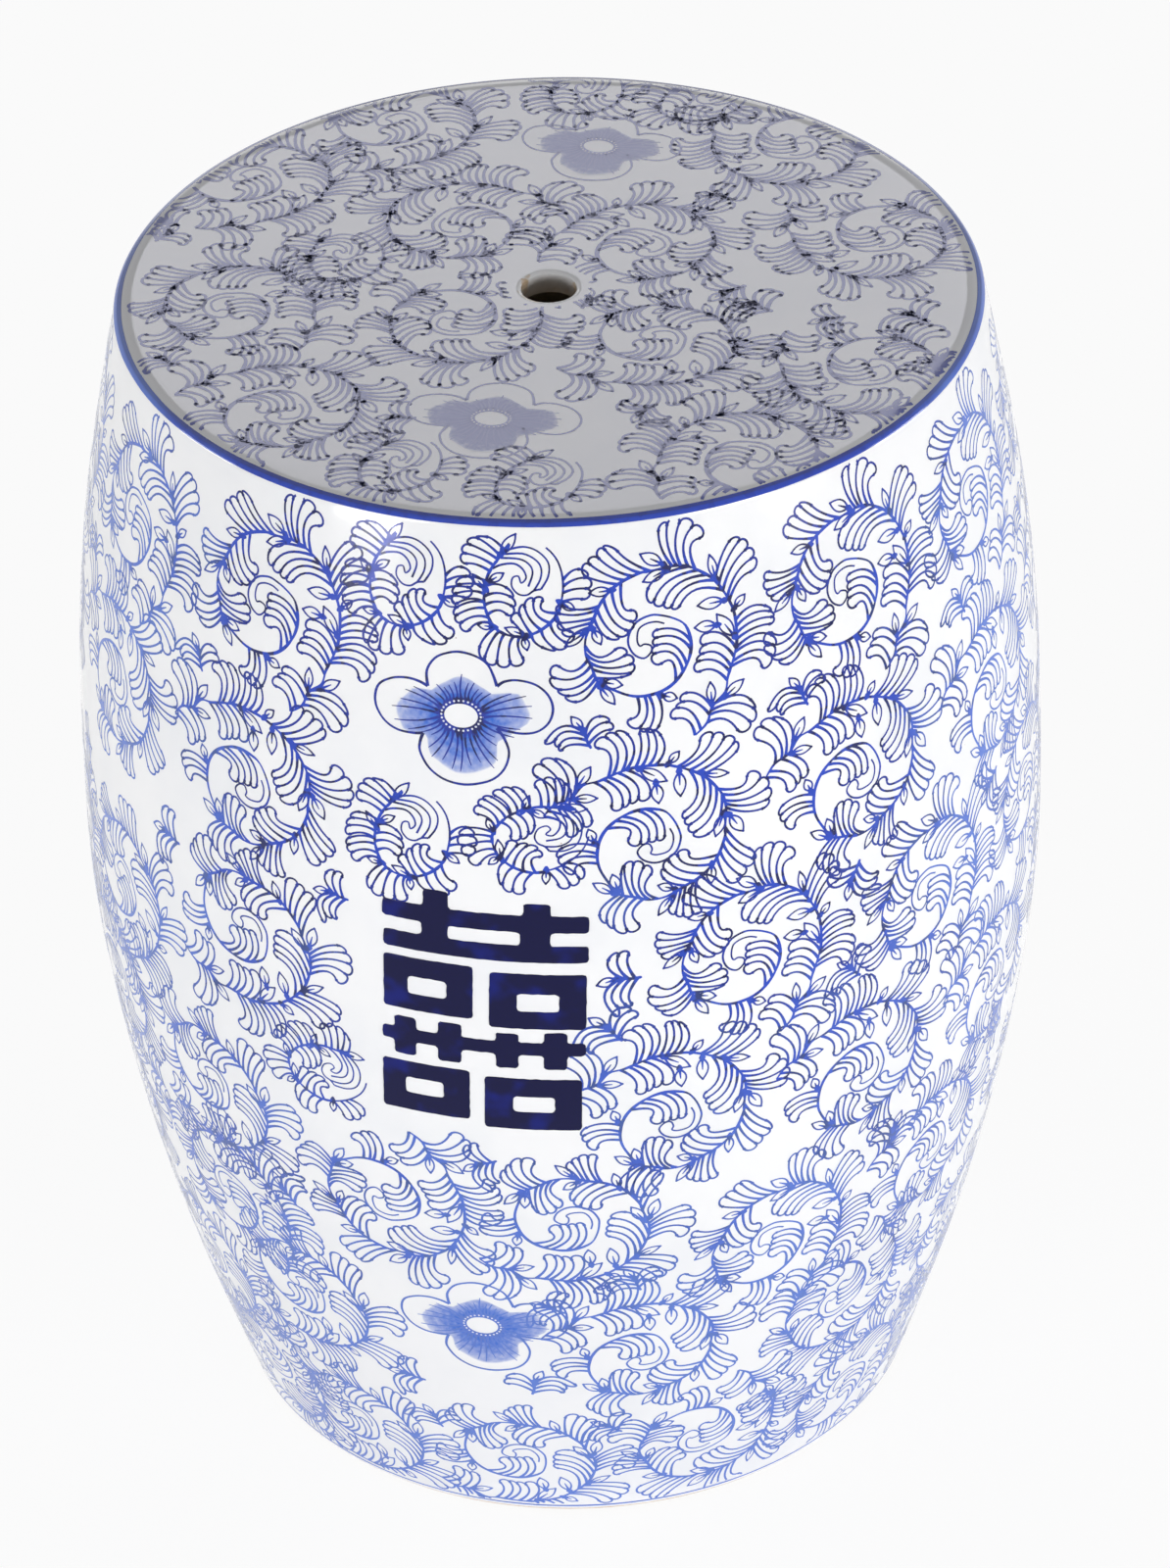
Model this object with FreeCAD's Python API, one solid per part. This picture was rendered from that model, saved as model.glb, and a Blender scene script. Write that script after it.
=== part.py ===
"""Ceramic garden stool: a hollow barrel with a flat seat, thrown in parts and luted together.

Every piece is a ring about the Z axis. The outside line of the half section is a chain of
tangent arcs with a straight run at each end. The hollow's line goes in straight strips at the
wall's thickness under it, upright behind the belly. Each piece is the region between the two lines
that its joints cut out, turned once round the axis.
Millimetres, +Z up, origin at the centre of the foot's bearing face.
"""
import FreeCAD, Part
import math
import os

# Outside of the barrel: one arc each side of the belly, then another and a straight run to each
# end. The insets are how far the seat's edge and the foot stand in from the belly
height = 460.0
belly_radius = 177.5
belly_height = 246.0
seat_inset = 22.9
foot_inset = 47.8
upper_belly_curve = 1505.0
lower_belly_curve = 440.0
shoulder_start = 60.0
flank_start = 50.0
shoulder_run = 49.0
foot_run = 40.0

# Edge of the seat: a slow roll, then a bevelled corner down to the wall
roll_radius = 28.0
roll_turn = 16.0
corner_drop = 4.4
corner_slope = 42.0

# Thickness of the glazed clay
wall_thickness = 7.4
seat_thickness = 8.4

# Finger hole in the middle of the seat
hole_radius = 10.0
hole_lip = 1.6

# Rebate in which the seat sits on the wall, and the coil pressed in under it
seat_rim_thickness = 5.4
slip_gap = 0.2
coil_size = 10.0
coil_edge = 1.0

# Bevelled joint between the two halves of the wall, and the band pressed over it inside
bevel_angle = 40.0
band_height = 34.0
band_thickness = 4.0

# Foot: a thicker ring under the wall, ground flat, with a bare bevel at its outer edge
foot_width = 15.0
foot_inner_height = 7.0
foot_joint_height = 12.0
bare_bevel_height = 2.5
bare_bevel_width = 1.2

# How far cutting regions pass beyond the clay, and the longest stretch in one face
overrun = 10.0
longest_face = 54.0
longest_strip = 90.0

shoulder_radius = belly_radius - seat_inset
foot_radius = belly_radius - foot_inset
seat_underside = height - seat_thickness
seat_ledge = height - seat_rim_thickness
foot_inner_radius = foot_radius - foot_width
far = belly_radius + height


def at(radius, level):
    """Point or direction in the half section."""
    return FreeCAD.Vector(radius, 0, level)


class Curve:
    """One arc of the outside line, between two leans of its outward normal above level."""

    def __init__(self, centre, radius):
        self.centre = centre
        self.radius = radius
        self.leans = [0.0, 0.0]

    def lean(self, level):
        """Lean of the outward normal, in radians, where the arc passes a level."""
        return math.asin((level - self.centre.z) / self.radius)

    def point(self, lean, depth=0.0):
        """Point at a depth under the arc, where its normal has a lean."""
        reach = self.radius - depth
        return self.centre + at(reach * math.cos(lean), reach * math.sin(lean))

    def stretches(self, longest):
        """The arc's equal stretches, none longer than a length, as pairs of leans."""
        first, last = self.leans
        count = math.ceil(abs(last - first) * self.radius / longest)
        leans = [first + (last - first) * step / count for step in range(count + 1)]
        return list(zip(leans, leans[1:]))

    def edge(self, first, last):
        """The arc between two leans."""
        middle = self.point((first + last) / 2)
        return Part.Arc(self.point(first), middle, self.point(last)).toShape()

    def edges(self):
        """The arc as edges that each make one face."""
        return [self.edge(*leans) for leans in self.stretches(longest_face)]


def curve_from(start, lean, end, run):
    """Arc that begins where the normal has a lean, and leaves a straight run of a length to end."""
    inward = at(-math.cos(lean), -math.sin(lean))
    chord = end - start
    radius = (chord.dot(chord) - run ** 2) / (2 * chord.dot(inward))
    curve = Curve(start + inward * radius, radius)
    reach = end - curve.centre
    swing = math.copysign(math.atan2(run, radius), chord.z)
    curve.leans = [lean, math.atan2(reach.z, reach.x) - swing]
    return curve


def barrel_curves():
    """The four arcs of the barrel's outside, from the shoulder down to the foot."""
    belly_up = Curve(at(belly_radius - upper_belly_curve, belly_height), upper_belly_curve)
    belly_down = Curve(at(belly_radius - lower_belly_curve, belly_height), lower_belly_curve)
    up_lean = belly_up.lean(belly_height + shoulder_start)
    down_lean = belly_down.lean(belly_height - flank_start)
    top, foot = at(shoulder_radius, height), at(foot_radius, 0)
    shoulder = curve_from(belly_up.point(up_lean), up_lean, top, shoulder_run)
    flank = curve_from(belly_down.point(down_lean), down_lean, foot, foot_run)
    shoulder.leans.reverse()
    belly_up.leans = [up_lean, 0.0]
    belly_down.leans = [0.0, down_lean]
    return [shoulder, belly_up, belly_down, flank]


def run_point(curve, lean, level, depth=0.0):
    """Where the straight run that leaves an arc at a lean passes a level, at a depth under it."""
    start = curve.point(lean, depth)
    return at(start.x - (level - start.z) * math.tan(lean), level)


def radius_at(level):
    """Radius of the barrel's outside at a level."""
    curves = barrel_curves()
    if level >= curves[0].point(curves[0].leans[0]).z:
        return run_point(curves[0], curves[0].leans[0], level).x
    if level <= curves[-1].point(curves[-1].leans[1]).z:
        return run_point(curves[-1], curves[-1].leans[1], level).x
    curve = next(one for one in curves if level > one.point(one.leans[1]).z)
    return curve.point(curve.lean(level)).x


def strip_points():
    """Ends of the straight strips of the inner face, from above the seat down to the floor."""
    shoulder, _, _, flank = barrel_curves()
    top_lean, low_lean = shoulder.leans[0], flank.leans[1]
    points = [run_point(shoulder, top_lean, height + overrun, wall_thickness)]
    for start, _ in shoulder.stretches(longest_strip):
        points.append(shoulder.point(start, wall_thickness))
    belly_foot = flank.point(flank.leans[0], wall_thickness)
    points += [at(belly_foot.x, belly_height + shoulder_start), belly_foot]
    for _, end in flank.stretches(longest_strip):
        points.append(flank.point(end, wall_thickness))
    return points + [run_point(flank, low_lean, -overrun, wall_thickness)]


def inner_radius(level):
    """Radius of the wall's inner face at a level."""
    points = strip_points()
    high, low = next(pair for pair in zip(points, points[1:]) if pair[1].z <= level)
    return low.x + (high.x - low.x) * (level - low.z) / (high.z - low.z)


def seat_roll():
    """Arc that rolls the seat's edge over, ending where the bevelled corner starts."""
    turn = math.radians(roll_turn)
    roll_drop = roll_radius * (1 - math.cos(turn))
    corner_width = (corner_drop - roll_drop) / math.tan(math.radians(corner_slope))
    roll_end = radius_at(height - corner_drop) - corner_width
    roll = Curve(at(roll_end - roll_radius * math.sin(turn), height - roll_radius), roll_radius)
    roll.leans = [math.pi / 2, math.pi / 2 - turn]
    return roll


def line(start, end):
    """Straight edge between two points."""
    return Part.LineSegment(start, end).toShape()


def region(*corners):
    """Straight-sided region of the half section."""
    return Part.Face(Part.makePolygon([at(*corner) for corner in corners + corners[:1]]))


def above(level):
    """Part of the half section above a level."""
    return region((0, level), (far, level), (far, far), (0, far))


def inside(radius):
    """Part of the half section nearer to the axis than a radius."""
    return region((0, -overrun), (radius, -overrun), (radius, far), (0, far))


def under_bevel(level):
    """Part of the half section under a bevel that meets the wall's outside at a level."""
    rise = math.tan(math.radians(bevel_angle))
    low = level - (far - radius_at(level)) * rise
    return region((0, low), (far, low), (0, level + radius_at(level) * rise))


def closed_section(edges):
    """Half section between the axis and a line that runs down from near the seat to the floor."""
    top, bottom = edges[0].Vertexes[0].Point, edges[-1].Vertexes[-1].Point
    sides = Part.makePolygon([bottom, at(0, bottom.z), at(0, top.z), top])
    return Part.Face(Part.Wire(edges + sides.Edges)).common(above(0))


def body_section():
    """Half section of everything under the stool's outside, with the hollow still filled."""
    roll = seat_roll()
    curves = barrel_curves()
    first, last = curves[0].leans[0], curves[-1].leans[1]
    corner = run_point(curves[0], first, height - corner_drop)
    edges = [line(at(hole_radius / 2, height), roll.point(roll.leans[0]))]
    edges += roll.edges()
    edges += [line(roll.point(roll.leans[1]), corner), line(corner, curves[0].point(first))]
    for curve in curves:
        edges += curve.edges()
    edges.append(line(curves[-1].point(last), run_point(curves[-1], last, -overrun)))
    return closed_section(edges)


def hollow_section():
    """Half section of the room inside the wall's inner face, carried on past the seat."""
    return closed_section(Part.makePolygon(strip_points()).Edges)


def wall_section():
    """Half section of the wall from the floor to the ledge that carries the seat."""
    return body_section().cut(hollow_section()).cut(above(seat_ledge))


def turned(section):
    """Ring made by turning a half section once round the axis."""
    face = max(section.Faces, key=lambda one: one.Area)
    return face.revolve(FreeCAD.Vector(0, 0, 0), FreeCAD.Vector(0, 0, 1), 360)


def upper_wall():
    """Upper half of the barrel, from the bevel at the belly to the seat's ledge."""
    return turned(wall_section().cut(under_bevel(belly_height)))


def lower_wall_section():
    """Half section of the lower half of the barrel, between its two bevels."""
    return wall_section().common(under_bevel(belly_height)).cut(under_bevel(foot_joint_height))


def lower_wall():
    """Lower half of the barrel, from the foot ring to the bevel at the belly."""
    return turned(lower_wall_section())


def foot_ring():
    """Thick ring that the wall stands on, sloped down inside to a narrow bearing face."""
    rise, lean = math.tan(math.radians(bevel_angle)), barrel_curves()[-1].leans[1]
    joint_width = wall_thickness / (math.cos(lean) - rise * math.sin(lean))
    joint_top = foot_joint_height + joint_width * rise
    blank = region(
        (foot_inner_radius, 0),
        (foot_radius - bare_bevel_width, 0),
        (radius_at(bare_bevel_height), bare_bevel_height),
        (far, bare_bevel_height),
        (far, joint_top),
        (inner_radius(joint_top), joint_top),
        (foot_inner_radius, foot_inner_height),
    )
    return turned(blank.common(body_section()).cut(lower_wall_section()))


def seat_slab():
    """Round seat with its finger hole, rebated underneath to sit inside the wall's top."""
    spigot_radius = inner_radius(seat_ledge) - slip_gap
    rebate = region((spigot_radius, 0), (far, 0), (far, seat_ledge), (spigot_radius, seat_ledge))
    lip = region((0, height - hole_radius - hole_lip), (hole_radius + hole_lip, height), (0, height))
    slab = body_section().common(above(seat_underside)).cut(rebate)
    return turned(slab.cut(inside(hole_radius)).cut(lip))


def seat_coil():
    """Coil of clay pressed flat into the corner under the seat."""
    wall = inner_radius(seat_underside)
    foot = seat_underside - coil_size
    coil = region(
        (wall - coil_size, seat_underside),
        (far, seat_underside),
        (far, foot),
        (inner_radius(foot) - coil_edge, foot),
    )
    return turned(coil.common(hollow_section()))


def belly_band():
    """Coil smeared flat over the inside of the joint between the two halves."""
    face = inner_radius(belly_height) - band_thickness
    top, bottom = belly_height + band_height / 2, belly_height - band_height / 2
    wall = face + band_thickness
    band = region(
        (face, bottom + band_thickness),
        (wall, bottom),
        (wall, top),
        (face, top - band_thickness),
    )
    return turned(band)


def main():
    """Make each piece and write it to its own file."""
    os.makedirs("parts", exist_ok=True)
    for piece in (foot_ring, lower_wall, upper_wall, belly_band, seat_slab, seat_coil):
        solid = piece()
        solid.exportStep("parts/" + piece.__name__ + ".step")
        volume = round(solid.Volume / 1000, 1)
        box = solid.BoundBox
        levels = (round(box.ZMin, 2), round(box.ZMax, 2))
        print(piece.__name__, solid.ShapeType, solid.isValid(), volume, "cm3, levels", *levels)


main()
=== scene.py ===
"""Looks of the ceramic garden stool: glazed barrel, bare foot and blue painting.

Every length is in metres, in the frame's own axes: +Z up along the stool's axis, and -Y towards
the painted front. Angles round the stool run from -Y towards +X.
"""
import logging
import math
import random
from dataclasses import dataclass, field
from enum import Enum, IntEnum
from typing import Any, Callable, Iterable, Sequence

import bmesh
import bpy
from mathutils import Matrix, Vector


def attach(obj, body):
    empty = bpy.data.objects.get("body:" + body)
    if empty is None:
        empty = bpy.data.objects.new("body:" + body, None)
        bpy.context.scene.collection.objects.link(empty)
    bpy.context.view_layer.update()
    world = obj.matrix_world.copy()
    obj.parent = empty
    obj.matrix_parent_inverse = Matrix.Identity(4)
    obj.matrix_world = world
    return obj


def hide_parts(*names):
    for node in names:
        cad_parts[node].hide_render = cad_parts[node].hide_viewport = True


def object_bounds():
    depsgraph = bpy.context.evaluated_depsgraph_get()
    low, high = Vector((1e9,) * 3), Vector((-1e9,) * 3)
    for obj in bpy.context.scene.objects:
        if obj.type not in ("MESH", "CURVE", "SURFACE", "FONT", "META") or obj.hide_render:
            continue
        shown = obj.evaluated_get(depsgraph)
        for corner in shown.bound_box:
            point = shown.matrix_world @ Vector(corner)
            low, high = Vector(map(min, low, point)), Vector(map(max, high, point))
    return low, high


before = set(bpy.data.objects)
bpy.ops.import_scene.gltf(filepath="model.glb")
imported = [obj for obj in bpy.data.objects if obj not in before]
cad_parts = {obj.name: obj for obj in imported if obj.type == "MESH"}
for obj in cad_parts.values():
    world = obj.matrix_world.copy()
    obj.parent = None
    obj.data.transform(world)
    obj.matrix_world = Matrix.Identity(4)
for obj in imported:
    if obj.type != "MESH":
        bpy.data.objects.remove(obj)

log = logging.getLogger("garden_stool")

Point = tuple[float, float]
MM = 0.001
CAD_BOX = [list(corner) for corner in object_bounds()]


def on_circle(radius: float, angle: float) -> Point:
    """Point on a circle about the origin, at an angle in radians from the first axis."""
    return radius * math.cos(angle), radius * math.sin(angle)


def toward(start: Point, heading: float, length: float) -> Point:
    """Point at a length from a start, along a heading in radians."""
    step = on_circle(length, heading)
    return start[0] + step[0], start[1] + step[1]


def bend(start: Point, middle: Point, end: Point, count: int) -> list[Point]:
    """Smooth line that leaves a start towards a middle point and arrives at an end from it.

    Args:
        start: First point of the line.
        middle: Point that the line is drawn towards.
        end: Last point of the line.
        count: Number of straight steps in the line.

    Returns:
        The points of the line, its two ends included.
    """
    points = []
    for step in range(count + 1):
        t = step / count
        weights = ((1 - t) ** 2, 2 * t * (1 - t), t * t)
        points.append(tuple(
            sum(weight * point[axis] for weight, point in zip(weights, (start, middle, end)))
            for axis in (0, 1)
        ))
    return points


def through(knots: Sequence[Point], steps: int) -> list[Point]:
    """Smooth line through given points.

    Args:
        knots: Points that the line passes through.
        steps: Number of straight steps between two knots.

    Returns:
        The points of the line.
    """
    ends = [knots[0], *knots, knots[-1]]
    points = []
    for before, start, end, after in zip(ends, ends[1:], ends[2:], ends[3:]):
        for step in range(steps):
            t = step / steps
            points.append(tuple(
                0.5 * (2 * b + (c - a) * t + (2 * a - 5 * b + 4 * c - d) * t ** 2
                       + (3 * b - a - 3 * c + d) * t ** 3)
                for a, b, c, d in zip(before, start, end, after)
            ))
    points.append(knots[-1])
    return points


@dataclass(frozen=True)
class Arc:
    """Arc of the half section, as radius and height from the axis and the floor.

    Leans are angles of the outward normal above level, in radians.
    """

    centre: Point
    radius: float
    leans: tuple[float, float] = (0.0, 0.0)

    def lean(self, level: float) -> float:
        """Lean of the outward normal where the arc passes a level."""
        return math.asin((level - self.centre[1]) / self.radius)

    def point(self, lean: float) -> Point:
        """Point of the arc where its normal has a lean."""
        return toward(self.centre, lean, self.radius)

    def points(self, step: float) -> list[Point]:
        """Points along the arc, about a step apart, its two ends included."""
        first, last = self.leans
        count = max(1, math.ceil(abs(last - first) * self.radius / step))
        return [self.point(first + (last - first) * part / count) for part in range(count + 1)]


@dataclass(frozen=True)
class Barrel:
    """Outside line of the stool, as a chain of arcs with a straight run at each end."""

    height: float
    belly_radius: float
    belly_height: float = 246.0 * MM
    seat_inset: float = 22.9 * MM
    foot_inset: float = 47.8 * MM
    upper_belly_curve: float = 1505.0 * MM
    lower_belly_curve: float = 440.0 * MM
    shoulder_start: float = 60.0 * MM
    flank_start: float = 50.0 * MM
    shoulder_run: float = 49.0 * MM
    foot_run: float = 40.0 * MM
    roll_radius: float = 28.0 * MM
    roll_turn: float = math.radians(16.0)
    corner_drop: float = 2.2 * MM
    corner_slope: float = math.radians(42.0)
    seat_thickness: float = 8.4 * MM

    @property
    def foot_radius(self) -> float:
        """Radius of the foot on the floor, before its bevel."""
        return self.belly_radius - self.foot_inset

    def _end_arc(self, start: Point, lean: float, end: Point, run: float) -> Arc:
        """Arc that begins at a point and a lean, and leaves a straight run to an end.

        Args:
            start: Point where the arc begins.
            lean: Lean of the normal there, in radians.
            end: Point where the straight run ends.
            run: Length of the straight run.

        Returns:
            The arc, with the leans of its two ends.
        """
        inward = on_circle(-1.0, lean)
        chord = (end[0] - start[0], end[1] - start[1])
        reach = chord[0] * inward[0] + chord[1] * inward[1]
        radius = (chord[0] ** 2 + chord[1] ** 2 - run ** 2) / (2 * reach)
        centre = (start[0] + inward[0] * radius, start[1] + inward[1] * radius)
        bearing = math.atan2(end[1] - centre[1], end[0] - centre[0])
        swing = math.copysign(math.atan2(run, radius), chord[1])
        return Arc(centre, radius, (lean, bearing - swing))

    def arcs(self) -> list[Arc]:
        """The four arcs, from the shoulder down to the foot."""
        up_curve, down_curve = self.upper_belly_curve, self.lower_belly_curve
        up = Arc((self.belly_radius - up_curve, self.belly_height), up_curve)
        down = Arc((self.belly_radius - down_curve, self.belly_height), down_curve)
        up_lean = up.lean(self.belly_height + self.shoulder_start)
        down_lean = down.lean(self.belly_height - self.flank_start)
        top = (self.belly_radius - self.seat_inset, self.height)
        foot = (self.foot_radius, 0.0)
        shoulder = self._end_arc(up.point(up_lean), up_lean, top, self.shoulder_run)
        flank = self._end_arc(down.point(down_lean), down_lean, foot, self.foot_run)
        return [
            Arc(shoulder.centre, shoulder.radius, shoulder.leans[::-1]),
            Arc(up.centre, up.radius, (up_lean, 0.0)),
            Arc(down.centre, down.radius, (0.0, down_lean)),
            flank,
        ]

    def wall_line(self, top: float, bottom: float, step: float) -> list[Point]:
        """Outside line of the wall between two levels, from the top down.

        Args:
            top: Level where the line starts.
            bottom: Level where it ends.
            step: Greatest distance between two points.

        Returns:
            Points as radius and level.
        """
        arcs = self.arcs()
        head, foot = arcs[0].point(arcs[0].leans[0]), arcs[-1].point(arcs[-1].leans[1])
        slopes = math.tan(arcs[0].leans[0]), math.tan(arcs[-1].leans[1])
        line = run_between(self._on_run(head, slopes[0], top), head, step)
        for arc in arcs:
            line += arc.points(step)[1:]
        line += run_between(foot, self._on_run(foot, slopes[1], bottom), step)[1:]
        return line

    @staticmethod
    def _on_run(start: Point, slope: float, level: float) -> Point:
        """Point at a level on the straight run through a start."""
        return start[0] - (level - start[1]) * slope, level

    def seat_line(self, step: float) -> list[Point]:
        """Top of the seat from its middle over the roll to the corner, from the axis out."""
        drop = self.roll_radius * (1 - math.cos(self.roll_turn))
        corner = self.wall_line(self.height - self.corner_drop, 0.0, self.height)[0]
        width = (self.corner_drop - drop) / math.tan(self.corner_slope)
        centre = (corner[0] - width - self.roll_radius * math.sin(self.roll_turn),
                  self.height - self.roll_radius)
        roll = Arc(centre, self.roll_radius, (math.pi / 2, math.pi / 2 - self.roll_turn))
        line = run_between((0.0, self.height), roll.points(step)[0], step)
        return line + roll.points(min(step / 2, 1.0 * MM))[1:]


def run_between(start: Point, end: Point, step: float) -> list[Point]:
    """Evenly spaced points on a straight line, no further apart than a step."""
    count = max(1, math.ceil(math.dist(start, end) / step))
    return [
        (start[0] + (end[0] - start[0]) * part / count,
         start[1] + (end[1] - start[1]) * part / count)
        for part in range(count + 1)
    ]


def rounded(line: Sequence[Point], corner: int, size: float, count: int = 5) -> list[Point]:
    """Line with one of its corners rounded off.

    Args:
        line: Points of the line.
        corner: Index of the corner.
        size: How far from the corner the rounding starts, along both sides.
        count: Number of straight steps in the rounding.

    Returns:
        The new points.
    """
    sides = []
    for other in (line[corner - 1], line[corner + 1]):
        share = min(0.9, size / math.dist(line[corner], other))
        sides.append(tuple(a + (b - a) * share for a, b in zip(line[corner], other)))
    return [*line[:corner], *bend(sides[0], line[corner], sides[1], count), *line[corner + 1:]]


class Term:
    """Output of a node, on which Python's operators add Math nodes."""

    def __init__(self, tree: "NodeWriter", socket: bpy.types.NodeSocket) -> None:
        """Keep the writer and the output that it works on."""
        self.tree, self.socket = tree, socket

    def _math(self, operation: str, *terms: "Term | float") -> "Term":
        """Math node of an operation on terms or numbers."""
        return self.tree.node("ShaderNodeMath", {"operation": operation}, *terms)

    def __add__(self, other: "Term | float") -> "Term":
        """This term plus another."""
        return self._math("ADD", self, other)

    def __sub__(self, other: "Term | float") -> "Term":
        """This term less another."""
        return self._math("SUBTRACT", self, other)

    def __rsub__(self, other: "Term | float") -> "Term":
        """Another term less this one."""
        return self._math("SUBTRACT", other, self)

    def __mul__(self, other: "Term | float") -> "Term":
        """This term times another."""
        return self._math("MULTIPLY", self, other)

    def __truediv__(self, other: "Term | float") -> "Term":
        """This term over another."""
        return self._math("DIVIDE", self, other)

    def most(self, other: "Term | float") -> "Term":
        """The greater of this term and another."""
        return self._math("MAXIMUM", self, other)

    def ramp(self, low: float, high: float) -> "Term":
        """Smooth rise from 0 at a low value to 1 at a high one."""
        settings = {"interpolation_type": "SMOOTHSTEP"}
        return self.tree.node("ShaderNodeMapRange", settings, self, low, high)

    __radd__, __rmul__ = __add__, __mul__


class NodeWriter:
    """Adds nodes to a tree, either a material's or a geometry modifier's."""

    def __init__(self, tree: bpy.types.NodeTree) -> None:
        """Keep an empty tree to write into."""
        self.tree = tree
        tree.nodes.clear()

    def node(self, kind: str, settings: dict[str, Any] | None = None, *inputs: Any,
             output: str | int = 0, **named: Any) -> Term:
        """Add one node.

        Args:
            kind: The node's type.
            settings: Properties of the node, set before its sockets are used.
            inputs: Values or terms of its first sockets, in order. None leaves a socket alone.
            output: Name or number of the output that is handed back.
            named: Values or terms of sockets by name, with _ for a space.

        Returns:
            The output, as a term.
        """
        made = self.tree.nodes.new(kind)
        for key, value in (settings or {}).items():
            setattr(made, key, value)
        sockets = [(index, value) for index, value in enumerate(inputs) if value is not None]
        for key, value in sockets + [(key.replace("_", " "), value) for key, value in named.items()]:
            if isinstance(value, Term):
                self.tree.links.new(value.socket, made.inputs[key])
            else:
                made.inputs[key].default_value = value
        return Term(self, made.outputs[output] if made.outputs else None)

    def colours(self, factor: Term, first: Any, second: Any) -> Term:
        """Colour that goes from a first to a second as a factor goes from 0 to 1."""
        made = self.tree.nodes.new("ShaderNodeMix")
        made.data_type = "RGBA"
        self.tree.links.new(factor.socket, made.inputs[0])
        for socket, value in ((made.inputs[6], first), (made.inputs[7], second)):
            if isinstance(value, Term):
                self.tree.links.new(value.socket, socket)
            else:
                socket.default_value = (*value, 1.0)
        return Term(self, made.outputs[2])


class Finish:
    """One material: its name, a slot name and the nodes that paint it."""

    def __init__(self, name: str, slot: str, paint: Callable[[NodeWriter], dict[str, Any]]) -> None:
        """Make the material.

        Args:
            name: The material's name.
            slot: Name of the material slot that it belongs to; kept on the finish but not used.
            paint: Writes the nodes and returns the shader's socket values and links by name.
        """
        self.slot = slot
        self.material = bpy.data.materials.new(name)
        self.material.use_nodes = True
        tree = NodeWriter(self.material.node_tree)
        shader = tree.node("ShaderNodeBsdfPrincipled", None, **paint(tree))
        tree.node("ShaderNodeOutputMaterial", None, shader)

    def dress(self, piece: bpy.types.Object) -> None:
        """Give a piece this material."""
        piece.data.materials.clear()
        piece.data.materials.append(self.material)


@dataclass(frozen=True)
class Glaze:
    """Clear gloss glaze over a white body, with a faint cool mottle and a few iron specks."""

    white: tuple[float, float, float] = (0.875, 0.878, 0.89)
    cool: tuple[float, float, float] = (0.83, 0.84, 0.865)
    speck: tuple[float, float, float] = (0.32, 0.22, 0.15)
    clay: tuple[float, float, float] = (0.62, 0.46, 0.31)
    inside: tuple[float, float, float] = (0.74, 0.64, 0.52)
    gloss: float = 0.09
    mottle_size: float = 45.0 * MM
    speck_spacing: float = 12.0 * MM
    ripple_size: float = 9.0 * MM
    ripple_depth: float = 0.012 * MM
    lip_radius: float = 10.0 * MM

    def paint(self, tree: NodeWriter) -> dict[str, Any]:
        """Write the glaze's nodes and return the shader's sockets."""
        place = tree.node("ShaderNodeTexCoord", output="Object")
        mottle = tree.node("ShaderNodeTexNoise", None, place, None, 1 / self.mottle_size, 3.0)
        colour = tree.colours(mottle.ramp(0.42, 0.72), self.white, self.cool)
        cell = tree.node("ShaderNodeTexVoronoi", None, place, None, 1 / self.speck_spacing)
        pick = tree.node("ShaderNodeTexNoise", None, place, None, 1.7 / self.speck_spacing)
        speck = (1 - cell.ramp(0.012, 0.03)) * pick.ramp(0.58, 0.62)
        colour = tree.colours(speck * 0.75, colour, self.speck)
        colour = tree.colours(self._lip(tree, place), colour, self.clay)
        bare = tree.node("ShaderNodeAttribute", {"attribute_name": "bare"}, output="Fac")
        colour = tree.colours(bare, colour, self.inside)
        ripple = tree.node("ShaderNodeTexNoise", None, place, None, 1 / self.ripple_size, 2.0)
        normal = tree.node("ShaderNodeBump", None, Strength=0.5, Distance=self.ripple_depth, Height=ripple)
        return {"Base_Color": colour, "Roughness": bare * 0.7 + self.gloss, "Normal": normal}

    def _lip(self, tree: NodeWriter, place: Term) -> Term:
        """Share of bare clay in the few places where the glaze crept back from the hole's lip."""
        spot = tree.node("ShaderNodeSeparateXYZ", None, place, output="X")
        across = Term(tree, spot.socket.node.outputs["Y"])
        level = Term(tree, spot.socket.node.outputs["Z"])
        radius = tree.node("ShaderNodeMath", {"operation": "SQRT"}, spot * spot + across * across)
        creep = tree.node("ShaderNodeTexNoise", None, place, None, 160.0, 2.0)
        near = (1 - (radius - self.lip_radius).ramp(1.2 * MM, 2.0 * MM)) * level.ramp(0.4515, 0.4525)
        return near * creep.ramp(0.5, 0.6)


@dataclass(frozen=True)
class Clay:
    """Fired clay left bare where the stool stands, and unglazed inside."""

    tan: tuple[float, float, float] = (0.66, 0.48, 0.34)
    pale: tuple[float, float, float] = (0.78, 0.66, 0.53)
    grit: tuple[float, float, float] = (0.33, 0.23, 0.16)
    patch_size: float = 14.0 * MM
    grit_size: float = 0.9 * MM
    grit_depth: float = 0.12 * MM

    def paint(self, tree: NodeWriter) -> dict[str, Any]:
        """Write the clay's nodes and return the shader's sockets."""
        place = tree.node("ShaderNodeTexCoord", output="Object")
        patch = tree.node("ShaderNodeTexNoise", None, place, None, 1 / self.patch_size, 4.0)
        grain = tree.node("ShaderNodeTexNoise", None, place, None, 1 / self.grit_size, 3.0)
        colour = tree.colours(patch.ramp(0.35, 0.65), self.tan, self.pale)
        colour = tree.colours(grain.ramp(0.62, 0.74) * 0.6, colour, self.grit)
        normal = tree.node("ShaderNodeBump", None, Strength=0.6, Distance=self.grit_depth, Height=grain)
        return {"Base_Color": colour, "Roughness": 0.78, "Normal": normal}


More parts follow.
